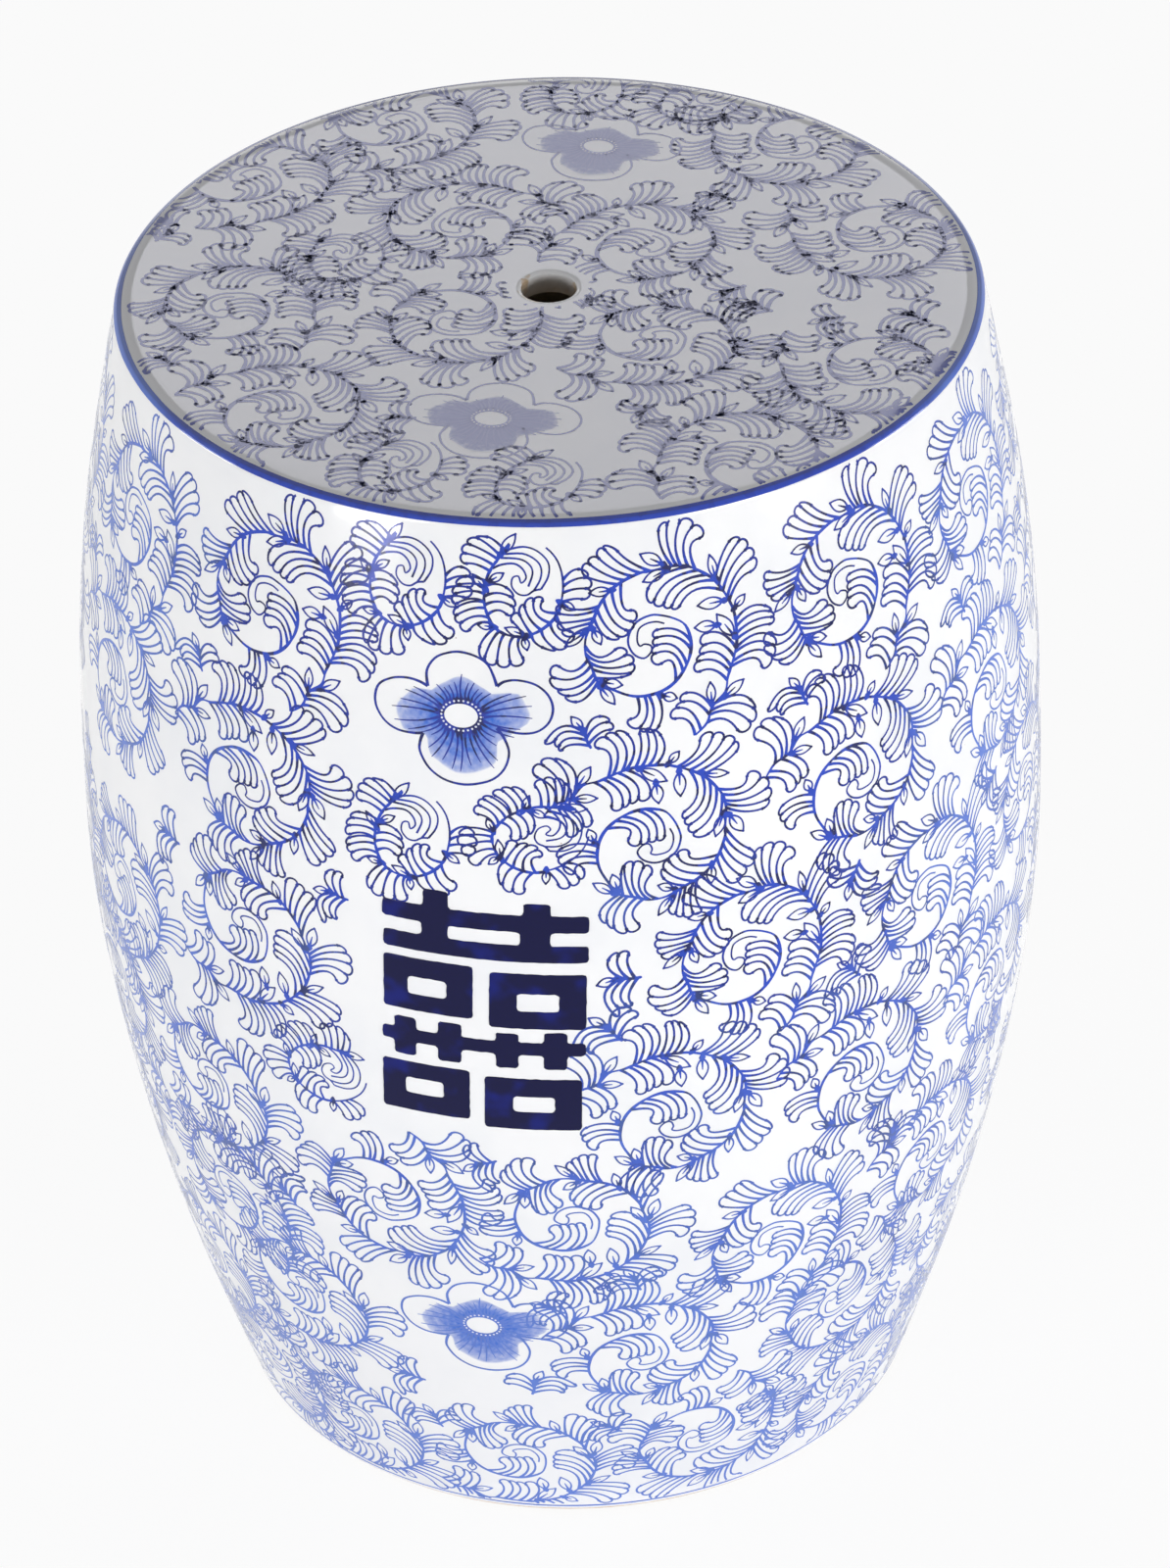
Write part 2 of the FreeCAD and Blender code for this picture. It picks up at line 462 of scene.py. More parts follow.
@dataclass(frozen=True)
class Cobalt:
    """Cobalt painting under the glaze, from a navy line to a brighter pool at the stems. The lines pale
    towards the bottom, and towards the left and right sides as painted sheen of the glaze.
    """

    line: tuple[float, float, float] = (0.012, 0.030, 0.30)
    pool: tuple[float, float, float] = (0.012, 0.055, 0.50)
    navy: tuple[float, float, float] = (0.006, 0.010, 0.10)
    # Colour that the lines pale to: towards the bottom, and towards the left and right sides as painted sheen
    # of the glaze.
    pale: tuple[float, float, float] = (0.11, 0.22, 0.68)
    gloss: float = 0.12
    drift_size: float = 30.0 * MM
    blot_size: float = 4.0 * MM
    fade_from: float = 330.0 * MM
    fade_to: float = 60.0 * MM
    # Painted sheen: distances from the axis across the pot between which the lines pale towards the sides.
    side_sheen_from: float = 95.0 * MM
    side_sheen_to: float = 165.0 * MM
    seat: tuple[float, float, float] = (0.075, 0.10, 0.42)
    seat_from: float = 458.9 * MM
    seat_to: float = 459.6 * MM
    rim_from: float = 452.0 * MM
    rim_to: float = 454.0 * MM

    def paint(self, tree: NodeWriter) -> dict[str, Any]:
        """Write the painting's nodes and return the shader's sockets."""
        place = tree.node("ShaderNodeTexCoord", output="Object")
        tone = tree.node("ShaderNodeAttribute", {"attribute_name": "tone"}, output="Fac")
        drift = tree.node("ShaderNodeTexNoise", None, place, None, 1 / self.drift_size, 2.0)
        share = tone + (drift - 0.5) * 0.35
        colour = tree.colours(share.ramp(0.0, 1.0), self.line, self.pool)
        blot = tree.node("ShaderNodeTexNoise", None, place, None, 1 / self.blot_size, 1.0)
        level = tree.node("ShaderNodeSeparateXYZ", None, place, output="Z")
        dark = blot.ramp(0.52, 0.62) * (1 - level.ramp(self.rim_from, self.rim_to) * 0.8)
        colour = tree.colours(dark, colour, self.navy)
        across = Term(tree, level.socket.node.outputs["X"])
        low = 1 - (level + (drift - 0.5) * self.fade_from).ramp(self.fade_to, self.fade_from)
        # Painted sheen: the lines pale towards the pot's left and right sides, where the glaze's reflection
        # would veil them.
        side = (across.most(0.0 - across) + (drift - 0.5) * self.side_sheen_from).ramp(self.side_sheen_from, self.side_sheen_to)
        flat = level.ramp(self.seat_from, self.seat_to)
        # Not thin paint: paler towards the bottom, plus painted sheen towards the sides, and none of it on
        # the seat.
        thin = (low * 0.85).most(side * 0.8) * (1 - flat)
        colour = tree.colours(thin, colour, self.pale)
        return {"Base_Color": tree.colours(flat * 0.95, colour, self.seat), "Roughness": self.gloss}


@dataclass(frozen=True)
class Wash:
    """Soft cobalt wash that fades into the white of the glaze."""

    deep: tuple[float, float, float] = (0.022, 0.125, 0.58)
    white: tuple[float, float, float] = Glaze.white
    gloss: float = Glaze.gloss
    streak_size: float = 2.2 * MM
    body: float = 1.0

    def paint(self, tree: NodeWriter) -> dict[str, Any]:
        """Write the wash's nodes and return the shader's sockets."""
        place = tree.node("ShaderNodeTexCoord", output="Object")
        depth = tree.node("ShaderNodeAttribute", {"attribute_name": "tone"}, output="Fac")
        streak = tree.node("ShaderNodeTexNoise", None, place, None, 1 / self.streak_size, 3.0)
        share = depth * (0.62 + streak * 0.7) * self.body
        return {"Base_Color": tree.colours(share.ramp(0.0, 1.0), self.white, self.deep),
                "Roughness": self.gloss}


def add_piece(
    name: str, points: Sequence[Sequence[float]], faces: Sequence[Sequence[int]]
) -> bpy.types.Object:
    """Mesh object at the origin, added to the scene.

    Args:
        name: The object's name.
        points: Places of the mesh's points.
        faces: Indices of each face's points.

    Returns:
        The object.
    """
    mesh = bpy.data.meshes.new(name)
    mesh.from_pydata([tuple(point) for point in points], [], [tuple(face) for face in faces])
    piece = bpy.data.objects.new(name, mesh)
    bpy.context.scene.collection.objects.link(piece)
    return piece


def mark(piece: bpy.types.Object, name: str, values: Sequence[float]) -> None:
    """Give a mesh one number for each of its points, which its material reads by name."""
    layer = piece.data.attributes.new(name, "FLOAT", "POINT")
    layer.data.foreach_set("value", list(values))


def spun(name: str, section: Sequence[Point], sides: int) -> bpy.types.Object:
    """Closed figure of revolution.

    Args:
        name: The object's name.
        section: Closed half section off the axis, out along the top and down the outside.
        sides: Number of sides of the circle.

    Returns:
        The object, shaded smooth between its sharp edges.
    """
    points = []
    for radius, level in section:
        for side in range(sides):
            points.append((*on_circle(radius, math.tau * side / sides), level))
    faces = []
    for row in range(len(section)):
        below = (row + 1) % len(section)
        for side in range(sides):
            after = (side + 1) % sides
            faces.append((row * sides + side, below * sides + side,
                          below * sides + after, row * sides + after))
    piece = add_piece(name, points, faces)
    piece.data.shade_smooth()
    piece.data.set_sharp_from_angle(angle=math.radians(38))
    return piece


@dataclass
class Pot:
    """The fired pot: both walls and the seat under one glaze, round the bare hollow."""

    barrel: Barrel
    glaze: Finish
    sides: int = 288
    step: float = 6.0 * MM
    hole_radius: float = 10.0 * MM
    hole_lip: float = 0.9 * MM
    rim_round: float = 1.1 * MM
    glaze_edge: float = 2.5 * MM
    glaze_fall: float = 0.45 * MM
    hollow: tuple[Point, ...] = (
        (0.15674, 0.41021), (0.16481, 0.35819), (0.1673, 0.306),
        (0.1673, 0.19684), (0.1545, 0.11774), (0.13439, 0.04018),
    )
    hollow_foot: float = 122.75 * MM
    hollow_top: float = 148.7 * MM

    def outside(self) -> list[Point]:
        """Outside line from the lip of the finger hole to the edge of the glaze over the foot."""
        top, lip = self.barrel.height, self.hole_radius + self.hole_lip
        seat = [(lip, top), *[point for point in self.barrel.seat_line(3 * self.step) if point[0] > lip]]
        seat.insert(0, (self.hole_radius, top - self.hole_lip))
        seat = rounded(seat, 1, 1.5 * self.rim_round)
        wall = self.barrel.wall_line(top - self.barrel.corner_drop, self.glaze_edge, self.step)
        return rounded(seat + wall, len(seat), self.rim_round)

    def build(self) -> bpy.types.Object:
        """Make the pot.

        Returns:
            The piece, which stands for both walls and the seat.
        """
        outside = self.outside()
        foot, underside = outside[-1], self.barrel.height - self.barrel.seat_thickness
        edge = [(foot[0] - 0.12 * self.glaze_fall, foot[1] - 0.4 * self.glaze_fall),
                (foot[0] - 0.6 * self.glaze_fall, foot[1] - 0.7 * self.glaze_fall)]
        shade = [(foot[0] - 1.5 * self.glaze_fall, self.glaze_edge), (self.hollow_foot, self.glaze_edge)]
        inside = [*self.hollow[::-1], (self.hollow_top, underside)]
        inner = run_between(inside[-1], (self.hole_radius, underside), 24 * self.step)[1:]
        section = [*outside, *edge, *shade, *inside, *inner]
        piece = spun("glazed_body", section, self.sides)
        glazed = len(outside) + len(edge)
        bare = [0.0] * glazed + [1.0] * (len(section) - glazed)
        mark(piece, "bare", [share for share in bare for _ in range(self.sides)])
        self.glaze.dress(piece)
        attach(piece, "root")
        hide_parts("lower_wall", "upper_wall", "seat_slab")
        return piece


@dataclass
class Foot:
    """The foot ring, bare where the glaze was wiped off before firing."""

    barrel: Barrel
    clay: Finish
    sides: int = 288
    inner_radius: float = 114.7 * MM
    inner_height: float = 7.0 * MM
    bevel_height: float = 2.5 * MM
    bevel_width: float = 1.2 * MM
    shoulder: Point = (122.6 * MM, 12.0 * MM)
    edge_round: float = 0.9 * MM

    def build(self) -> bpy.types.Object:
        """Make the foot.

        Returns:
            The piece, which stands for the foot ring.
        """
        outer = self.barrel.foot_radius - self.bevel_width
        top = outer + self.bevel_width - 0.1 * MM
        corner = (self.shoulder[0], self.bevel_height)
        line = [corner, (top, self.bevel_height), (outer, 0.0), (self.inner_radius, 0.0),
                (self.inner_radius, self.inner_height), self.shoulder]
        for index in (4, 3, 2):
            line = rounded(line, index, self.edge_round, 4)
        piece = spun("bare_foot", line, self.sides)
        self.clay.dress(piece)
        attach(piece, "root")
        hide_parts("foot_ring")
        return piece


@dataclass
class Sketch:
    """Flat drawing in millimetres, made of ribbons that lie face up on the plane."""

    mirrored: bool = False
    weight: float = 1.0
    points: list[tuple[float, float, float]] = field(default_factory=list)
    faces: list[tuple[int, ...]] = field(default_factory=list)
    tones: list[float] = field(default_factory=list)

    def stroke(self, line: Sequence[Point], widths: Sequence[float], tones: Sequence[float] = (0.0,),
               lift: float = 0.0) -> None:
        """Add one brush stroke.

        Args:
            line: Points of the stroke.
            widths: Widths along the stroke, spread evenly over its points.
            tones: Tones along the stroke, 0 for navy and 1 for bright cobalt, spread alike.
            lift: Height over the other strokes.
        """
        if self.mirrored:
            line = [(-x, y) for x, y in line]
        first, count = len(self.points), len(line)
        for index, spot in enumerate(line):
            before, after = line[max(0, index - 1)], line[min(count - 1, index + 1)]
            length = max(math.dist(before, after), 1e-9)
            share = index / (count - 1)
            half = spread(widths, share) * self.weight / 2
            aside = (-(after[1] - before[1]) / length * half, (after[0] - before[0]) / length * half)
            self.points.append((spot[0] - aside[0], spot[1] - aside[1], lift))
            self.points.append((spot[0] + aside[0], spot[1] + aside[1], lift))
            self.tones += [spread(tones, share)] * 2
        for index in range(count - 1):
            start = first + 2 * index
            self.faces.append((start, start + 2, start + 3, start + 1))

    def patch(self, rings: Sequence[Sequence[Point]], tones: Sequence[float], lift: float = 0.0) -> None:
        """Add a washed area between rings of points, each ring outside the one before.

        Args:
            rings: Closed rings of equally many points, counter-clockwise.
            tones: Tone of each ring.
            lift: Height over the other strokes.
        """
        first, count = len(self.points), len(rings[0])
        for ring, tone in zip(rings, tones):
            self.points += [(x, y, lift) for x, y in ring]
            self.tones += [tone] * count
        for row in range(len(rings) - 1):
            for index in range(count):
                after = (index + 1) % count
                near, far = first + row * count, first + (row + 1) * count
                self.faces.append((near + index, far + index, far + after, near + after))

    def blot(self, spot: Point, size: float, tone: float) -> None:
        """Add a small round blot of colour."""
        if self.mirrored:
            spot = (-spot[0], spot[1])
        first = len(self.points)
        for side in range(6):
            self.points.append((*toward(spot, math.tau * side / 6, size * self.weight), 0.0))
            self.tones.append(tone)
        self.faces.append(tuple(range(first, first + 6)))

    def stamp(self, name: str) -> bpy.types.Object:
        """Object of the drawing, in metres, kept out of the scene."""
        mesh = bpy.data.meshes.new(name)
        mesh.from_pydata([tuple(MM * value for value in point) for point in self.points], [], self.faces)
        piece = bpy.data.objects.new(name, mesh)
        mark(piece, "tone", self.tones)
        mesh.shade_smooth()
        return piece


def spread(values: Sequence[float], share: float) -> float:
    """Value at a share of the way along a list of values."""
    place = share * (len(values) - 1)
    index = min(int(place), len(values) - 2) if len(values) > 1 else 0
    after = values[min(index + 1, len(values) - 1)]
    return values[index] + (after - values[index]) * (place - index)


@dataclass(frozen=True)
class Fan:
    """Leaf of the scroll: parallel fingers that leave the stem together and end in round tips.

    Side lines run from roots to ends, and the ends are the notches between the tips.
    """

    roots: tuple[Point, Point]
    bends: tuple[Point, Point]
    ends: tuple[Point, ...]
    line_width: float = 0.84
    reach: float = 4.5

    def draw(self, sketch: Sketch, stem: Sequence[Point]) -> None:
        """Draw the fingers' sides, from the nearest points of the stem, and their round tips."""
        sides = []
        for index, end in enumerate(self.ends):
            share = index / (len(self.ends) - 1)
            root, middle = (
                tuple(a + (b - a) * share for a, b in zip(*pair)) for pair in (self.roots, self.bends)
            )
            nearest = min(stem, key=lambda spot: math.dist(spot, root))
            if math.dist(nearest, root) < self.reach:
                root = nearest
            sides.append(bend(root, middle, end, 8))
        fine = self.line_width
        for side in sides:
            sketch.stroke(side, (1.5 * fine, 1.1 * fine, 0.95 * fine, fine), (0.95, 0.35, 0.1, 0.0))
            sketch.blot(side[-1], 0.85 * fine, 0.0)
        for before, after in zip(sides, sides[1:]):
            sketch.stroke(self._tip(before, after), (1.25 * fine, fine, fine, fine, 1.25 * fine), (0.0,))

    @staticmethod
    def _tip(before: Sequence[Point], after: Sequence[Point]) -> list[Point]:
        """Round tip that joins the ends of two neighbouring side lines."""
        gap = math.dist(before[-1], after[-1])
        handles = []
        for side in (before, after):
            heading = math.atan2(side[-1][1] - side[-2][1], side[-1][0] - side[-2][0])
            handles.append(toward(side[-1], heading, 0.72 * gap))
        knots = (before[-1], *handles, after[-1])
        line = []
        for step in range(9):
            t = step / 8
            weights = ((1 - t) ** 3, 3 * t * (1 - t) ** 2, 3 * t * t * (1 - t), t ** 3)
            line.append(tuple(sum(w * knot[axis] for w, knot in zip(weights, knots)) for axis in (0, 1)))
        return line


@dataclass(frozen=True)
class Sepal:
    """Small pointed leaf at a joint of the stem, with a vein."""

    base: Point
    tip: Point
    width: float = 3.8

    def draw(self, sketch: Sketch, _stem: Sequence[Point]) -> None:
        """Draw the leaf's two edges, its vein and the pool of colour at its base."""
        heading = math.atan2(self.tip[1] - self.base[1], self.tip[0] - self.base[0])
        length = math.dist(self.base, self.tip)
        for side in (-1, 1):
            middle = toward(toward(self.base, heading, 0.45 * length),
                            heading + side * math.pi / 2, 0.95 * self.width)
            sketch.stroke(bend(self.base, middle, self.tip, 7), (0.95, 0.65, 0.62, 0.75), (0.8, 0.1, 0.0))
        sketch.blot(self.tip, 0.5, 0.0)
        pool = (toward(self.base, heading, -2.2), toward(self.base, heading, 1.6))
        sketch.stroke(run_between(*pool, 0.7), (0.6, 2.0, 2.6, 1.6, 0.5), (1.0, 0.9, 1.0))
        vein = (toward(self.base, heading, -0.05 * length), toward(self.base, heading, 0.55 * length))
        sketch.stroke(run_between(*vein, length / 4), (1.3, 0.8, 0.35), (1.0, 0.5))


@dataclass(frozen=True)
class Scroll:
    """One scroll of foliage: a stem that curls up, with the leaves that grow from it."""

    stem: tuple[Point, ...]
    fans: tuple[Fan, ...] = ()
    sepals: tuple[Sepal, ...] = ()
    loose_lines: tuple[tuple[Point, ...], ...] = ()
    pool_from: float = 0.0
    pool_to: float = 0.66
    seed: int = 3

    def draw(self, mirrored: bool = False, weight: float = 1.0) -> Sketch:
        """Draw the scroll or its mirror image, with its lines at a weight."""
        sketch, chance = Sketch(mirrored, weight), random.Random(self.seed)
        stem = through(self.stem, 4)
        first, last = (round(share * (len(stem) - 1)) for share in (self.pool_from, self.pool_to))
        widths = [chance.uniform(0.7, 1.35) for _ in range(60)]
        sketch.stroke(stem[first:last + 1], (0.6, *widths, 0.7), (0.9, 1.0, 0.85, 1.0, 0.8, 1.0, 0.9))
        if last < len(stem) - 1:
            sketch.stroke(stem[last:], (0.7, 0.85, 0.7, 0.65, 0.65), (0.9, 0.5, 0.1, 0.0, 0.0, 0.0))
        for part in (*self.fans, *self.sepals):
            part.draw(sketch, stem)
        for line in self.loose_lines:
            sketch.stroke(through(line, 4), (0.9, 0.65, 0.62, 0.8), (0.6, 0.2, 0.0, 0.0))
        return sketch


LARGE_SCROLL = Scroll(
    stem=((13.0, -41.0), (17.6, -37.0), (19.6, -31.5), (24.6, -27.0), (26.0, -21.3), (28.6, -14.6),
          (30.0, -8.4), (29.7, 0.6), (28.0, 6.2), (25.2, 11.8), (22.4, 15.7), (18.5, 19.0),
          (14.0, 21.8), (8.4, 23.0), (0.6, 22.4), (-2.8, 22.2), (-8.4, 20.2), (-12.9, 17.4),
          (-16.8, 12.9), (-19.6, 7.3), (-22.7, 0.6), (-23.2, -5.6), (-21.6, -10.0), (-19.6, -16.2),
          (-14.6, -19.6), (-9.0, -22.4), (-3.9, -23.2), (1.7, -22.4), (6.2, -20.2), (10.0, -16.2),
          (12.6, -11.2), (13.4, -5.6), (11.8, 0.6), (7.8, 3.9), (2.8, 5.9), (-0.6, 6.2),
          (-5.0, 4.5), (-7.8, 0.6), (-8.4, -3.4), (-6.7, -7.3), (-3.4, -9.2), (-0.8, -7.3),
          (-0.6, -5.0), (-2.8, -4.0), (-4.5, -4.5), (-5.3, -2.2), (-4.5, 1.7), (-1.7, 3.4),
          (1.7, 3.6), (4.5, 2.5)),
    fans=(
        Fan(((8.0, 23.8), (15.7, 20.7)), ((3.9, 30.0), (12.8, 31.0)),
            ((4.4, 36.5), (7.5, 38.0), (11.8, 38.0), (16.0, 35.6), (18.7, 31.2))),
        Fan(((25.2, 17.0), (28.4, 5.6)), ((25.8, 24.0), (31.5, 14.5)),
            ((29.3, 27.6), (32.6, 26.6), (35.0, 23.0), (36.9, 19.2), (36.5, 14.6))),
        Fan(((13.4, 20.9), (24.6, 10.6)), ((2.0, 21.5), (15.0, 16.5)),
            ((-0.4, 16.2), (1.6, 11.8), (4.9, 10.2), (7.6, 8.8), (10.2, 8.0))),
        Fan(((-11.2, 19.2), (0.4, 23.6)), ((-17.0, 20.5), (-7.0, 26.5)),
            ((-21.0, 22.6), (-19.6, 27.0), (-16.5, 29.0), (-14.3, 32.0), (-10.0, 31.0))),
        Fan(((-18.8, 7.0), (-9.0, 19.0)), ((-18.0, 1.5), (-10.8, 8.0)),
            ((-15.3, -0.3), (-12.0, 0.2), (-9.0, 2.0), (-7.1, 5.0), (-6.8, 9.0))),
        Fan(((-18.4, 11.5), (-21.5, 5.0)), ((-25.0, 9.5), (-25.5, 3.2)),
            ((-30.0, 12.6), (-31.0, 9.6), (-31.0, 6.2), (-29.8, 3.6), (-26.8, 1.6))),
        Fan(((-23.2, -3.0), (-18.5, -14.0)), ((-19.5, -10.5), (-14.0, -15.5)),
            ((-13.0, -4.8), (-10.0, -7.4), (-8.2, -10.8), (-8.8, -14.0), (-11.5, -15.2))),
        Fan(((-23.0, -8.4), (-21.0, -18.0)), ((-27.5, -14.5), (-24.0, -23.5)),
            ((-32.4, -9.8), (-34.2, -14.0), (-32.4, -18.4), (-30.0, -20.8), (-27.6, -23.2))),
        Fan(((-6.7, -23.4), (0.6, -24.0)), ((-4.6, -31.0), (3.4, -30.0)),
            ((-9.2, -31.2), (-5.8, -34.4), (-3.0, -35.8), (0.4, -35.2))),
        Fan(((17.8, -30.9), (13.0, -41.0)), ((15.5, -24.2), (12.1, -33.0)),
            ((10.7, -24.4), (9.7, -27.5), (7.7, -29.5), (6.3, -33.4))),
        Fan(((21.6, -30.3), (18.0, -37.6)), ((30.0, -27.0), (24.5, -34.5)),
            ((33.8, -32.3), (34.5, -35.6), (32.8, -40.0), (28.4, -42.4))),
        Fan(((28.7, -11.8), (25.0, -23.0)), ((25.5, -3.4), (21.2, -15.8)),
            ((19.4, -3.7), (18.6, -7.9), (17.5, -11.0), (16.0, -13.5), (16.0, -17.4))),
        Fan(((30.7, -11.3), (28.0, -18.5)), ((37.0, -6.0), (38.0, -14.5)),
            ((43.0, -10.6), (43.2, -14.2), (42.2, -17.6), (38.6, -20.8))),
        Fan(((30.0, -1.2), (30.6, -9.2)), ((35.0, 4.2), (36.5, -5.0)),
            ((41.2, 0.8), (42.6, -1.6), (43.4, -4.0), (42.6, -6.4))),
        Fan(((12.4, -5.2), (7.6, -19.4)), ((9.5, 1.6), (8.0, -8.5)),
            ((1.8, 0.6), (1.6, -2.2), (1.4, -5.0), (0.8, -7.9), (2.6, -12.0))),
    ),
    sepals=(
        Sepal((25.8, 6.7), (16.5, 6.8), 4.5), Sepal((23.5, 15.7), (21.8, 24.4), 3.2),
        Sepal((30.0, 3.4), (33.8, 7.0), 3.2), Sepal((29.0, -7.0), (23.2, 2.2), 4.6),
        Sepal((19.6, -30.0), (19.4, -22.2), 3.4), Sepal((24.6, -28.6), (31.6, -24.0), 4.0),
        Sepal((5.0, 24.4), (-2.4, 29.0), 4.5), Sepal((-13.4, 17.0), (-20.6, 16.6), 3.6),
        Sepal((-23.2, 2.2), (-30.0, -2.6), 3.4), Sepal((-20.0, 3.0), (-17.8, -2.4), 3.4),
        Sepal((-17.6, -16.6), (-11.4, -18.2), 3.8), Sepal((-18.8, -18.4), (-14.4, -25.0), 3.8),
        Sepal((2.4, -24.0), (7.3, -25.8), 3.6), Sepal((22.6, -1.6), (15.0, -1.0), 4.4),
        Sepal((6.0, 21.8), (-2.0, 18.8), 4.0),
    ),
)

SMALL_SCROLL = Scroll(
    stem=((-2.2, 19.1), (-3.6, 16.6), (-7.1, 12.3), (-9.6, 8.0), (-10.6, 4.3), (-11.2, 0.6),
          (-11.1, -3.5), (-9.8, -8.1), (-7.7, -11.6), (-4.5, -13.8), (-0.2, -14.7), (3.7, -14.2),
          (8.1, -12.2), (12.0, -8.8), (14.2, -5.2), (15.2, -1.1), (15.7, 3.6), (15.3, 8.2),
          (14.1, 12.4), (12.2, 15.6), (10.0, 17.9)),
    fans=(
        Fan(((-3.6, 16.7), (-9.0, 9.0)), ((-8.0, 21.5), (-14.0, 12.0)),
            ((-9.9, 21.4), (-12.8, 20.6), (-15.7, 18.2), (-17.3, 14.9), (-17.0, 11.2))),
        Fan(((-10.3, 5.4), (-11.1, -2.0)), ((-14.0, 7.0), (-15.5, 0.0)),
            ((-17.6, 6.4), (-19.6, 3.4), (-20.8, 0.0), (-20.5, -3.6))),
        Fan(((-11.1, -2.0), (-8.7, -10.4)), ((-15.5, -1.6), (-14.0, -9.0)),
            ((-20.6, -5.0), (-20.6, -7.8), (-19.0, -10.4), (-16.4, -13.0))),
        Fan(((-8.2, -11.4), (0.8, -14.7)), ((-12.0, -15.5), (-1.0, -18.0)),
            ((-13.0, -19.0), (-11.2, -22.4), (-7.1, -23.8), (-2.7, -23.8), (1.7, -22.4))),
        Fan(((-10.6, 3.4), (-10.4, -7.6)), ((-7.0, 5.4), (-6.4, -3.6)),
            ((-3.6, 3.2), (-2.4, 0.0), (-2.0, -3.4), (-3.6, -6.6))),
        Fan(((13.6, -6.3), (1.6, -14.6)), ((6.0, -6.0), (1.0, -11.5)),
            ((8.6, -1.6), (5.6, -1.6), (2.6, -3.8), (0.9, -6.8), (-1.6, -9.4))),
        Fan(((4.6, -14.2), (13.9, -7.1)), ((5.0, -17.0), (15.0, -12.6)),
            ((8.4, -18.6), (12.2, -18.8), (16.0, -16.8), (17.9, -13.0))),
        Fan(((15.4, 6.4), (15.2, -2.2)), ((18.6, 10.0), (19.6, -0.6)),
            ((21.0, 9.6), (22.9, 6.4), (23.4, 2.4), (22.0, -1.4))),
    ),
    sepals=(
        Sepal((-5.2, 15.6), (-0.2, 22.8), 3.6), Sepal((-9.4, 5.2), (-4.5, 8.4), 3.0),
        Sepal((-11.0, 2.6), (-15.0, 7.4), 2.8), Sepal((-8.6, -11.4), (-13.4, -11.0), 2.8),
        Sepal((2.6, -14.2), (-4.2, -11.6), 3.2), Sepal((2.2, -15.0), (3.2, -19.6), 2.8),
        Sepal((15.0, -2.4), (19.6, -5.2), 3.0),
    ),
    loose_lines=(
        ((-3.4, 16.9), (2.2, 18.2), (7.0, 16.7), (10.7, 12.5), (10.7, 7.4), (8.2, 2.7)),
        ((-4.4, 15.4), (2.1, 15.7), (6.4, 13.5), (8.3, 10.5), (8.0, 6.4), (5.8, 2.2)),
        ((-5.4, 14.0), (1.1, 13.7), (4.5, 11.5), (5.4, 8.4), (3.9, 3.7)),
        ((-8.2, 10.0), (-5.2, 11.5), (-0.8, 12.0), (2.1, 10.0), (3.2, 6.9), (1.5, 5.0), (0.6, 7.4),
         (-1.4, 6.8), (-1.7, 3.6), (0.5, 0.9), (3.4, 0.6), (5.8, 2.2), (8.2, 2.7)),
    ),
    pool_to=0.74,
)

SPRIG = Scroll(
    stem=((-2.0, -4.6), (-3.2, -2.0), (-4.0, 0.6), (-5.6, 2.8), (-7.0, 3.8)),
    fans=(
        Fan(((-5.4, 2.6), (-3.0, -4.0)), ((-12.0, 7.6), (-10.0, -1.4)),
            ((-17.4, -1.0), (-14.0, -0.4), (-12.8, -2.8), (-12.0, -4.6))),
        Fan(((-4.0, 0.6), (-1.4, -1.8)), ((-2.6, 7.6), (1.4, 2.4)),
            ((1.4, 7.4), (3.6, 5.0), (4.6, 2.0))),
    ),
    sepals=(Sepal((-4.8, 3.0), (-8.4, 7.8), 3.4),),
    pool_to=1.0,
)


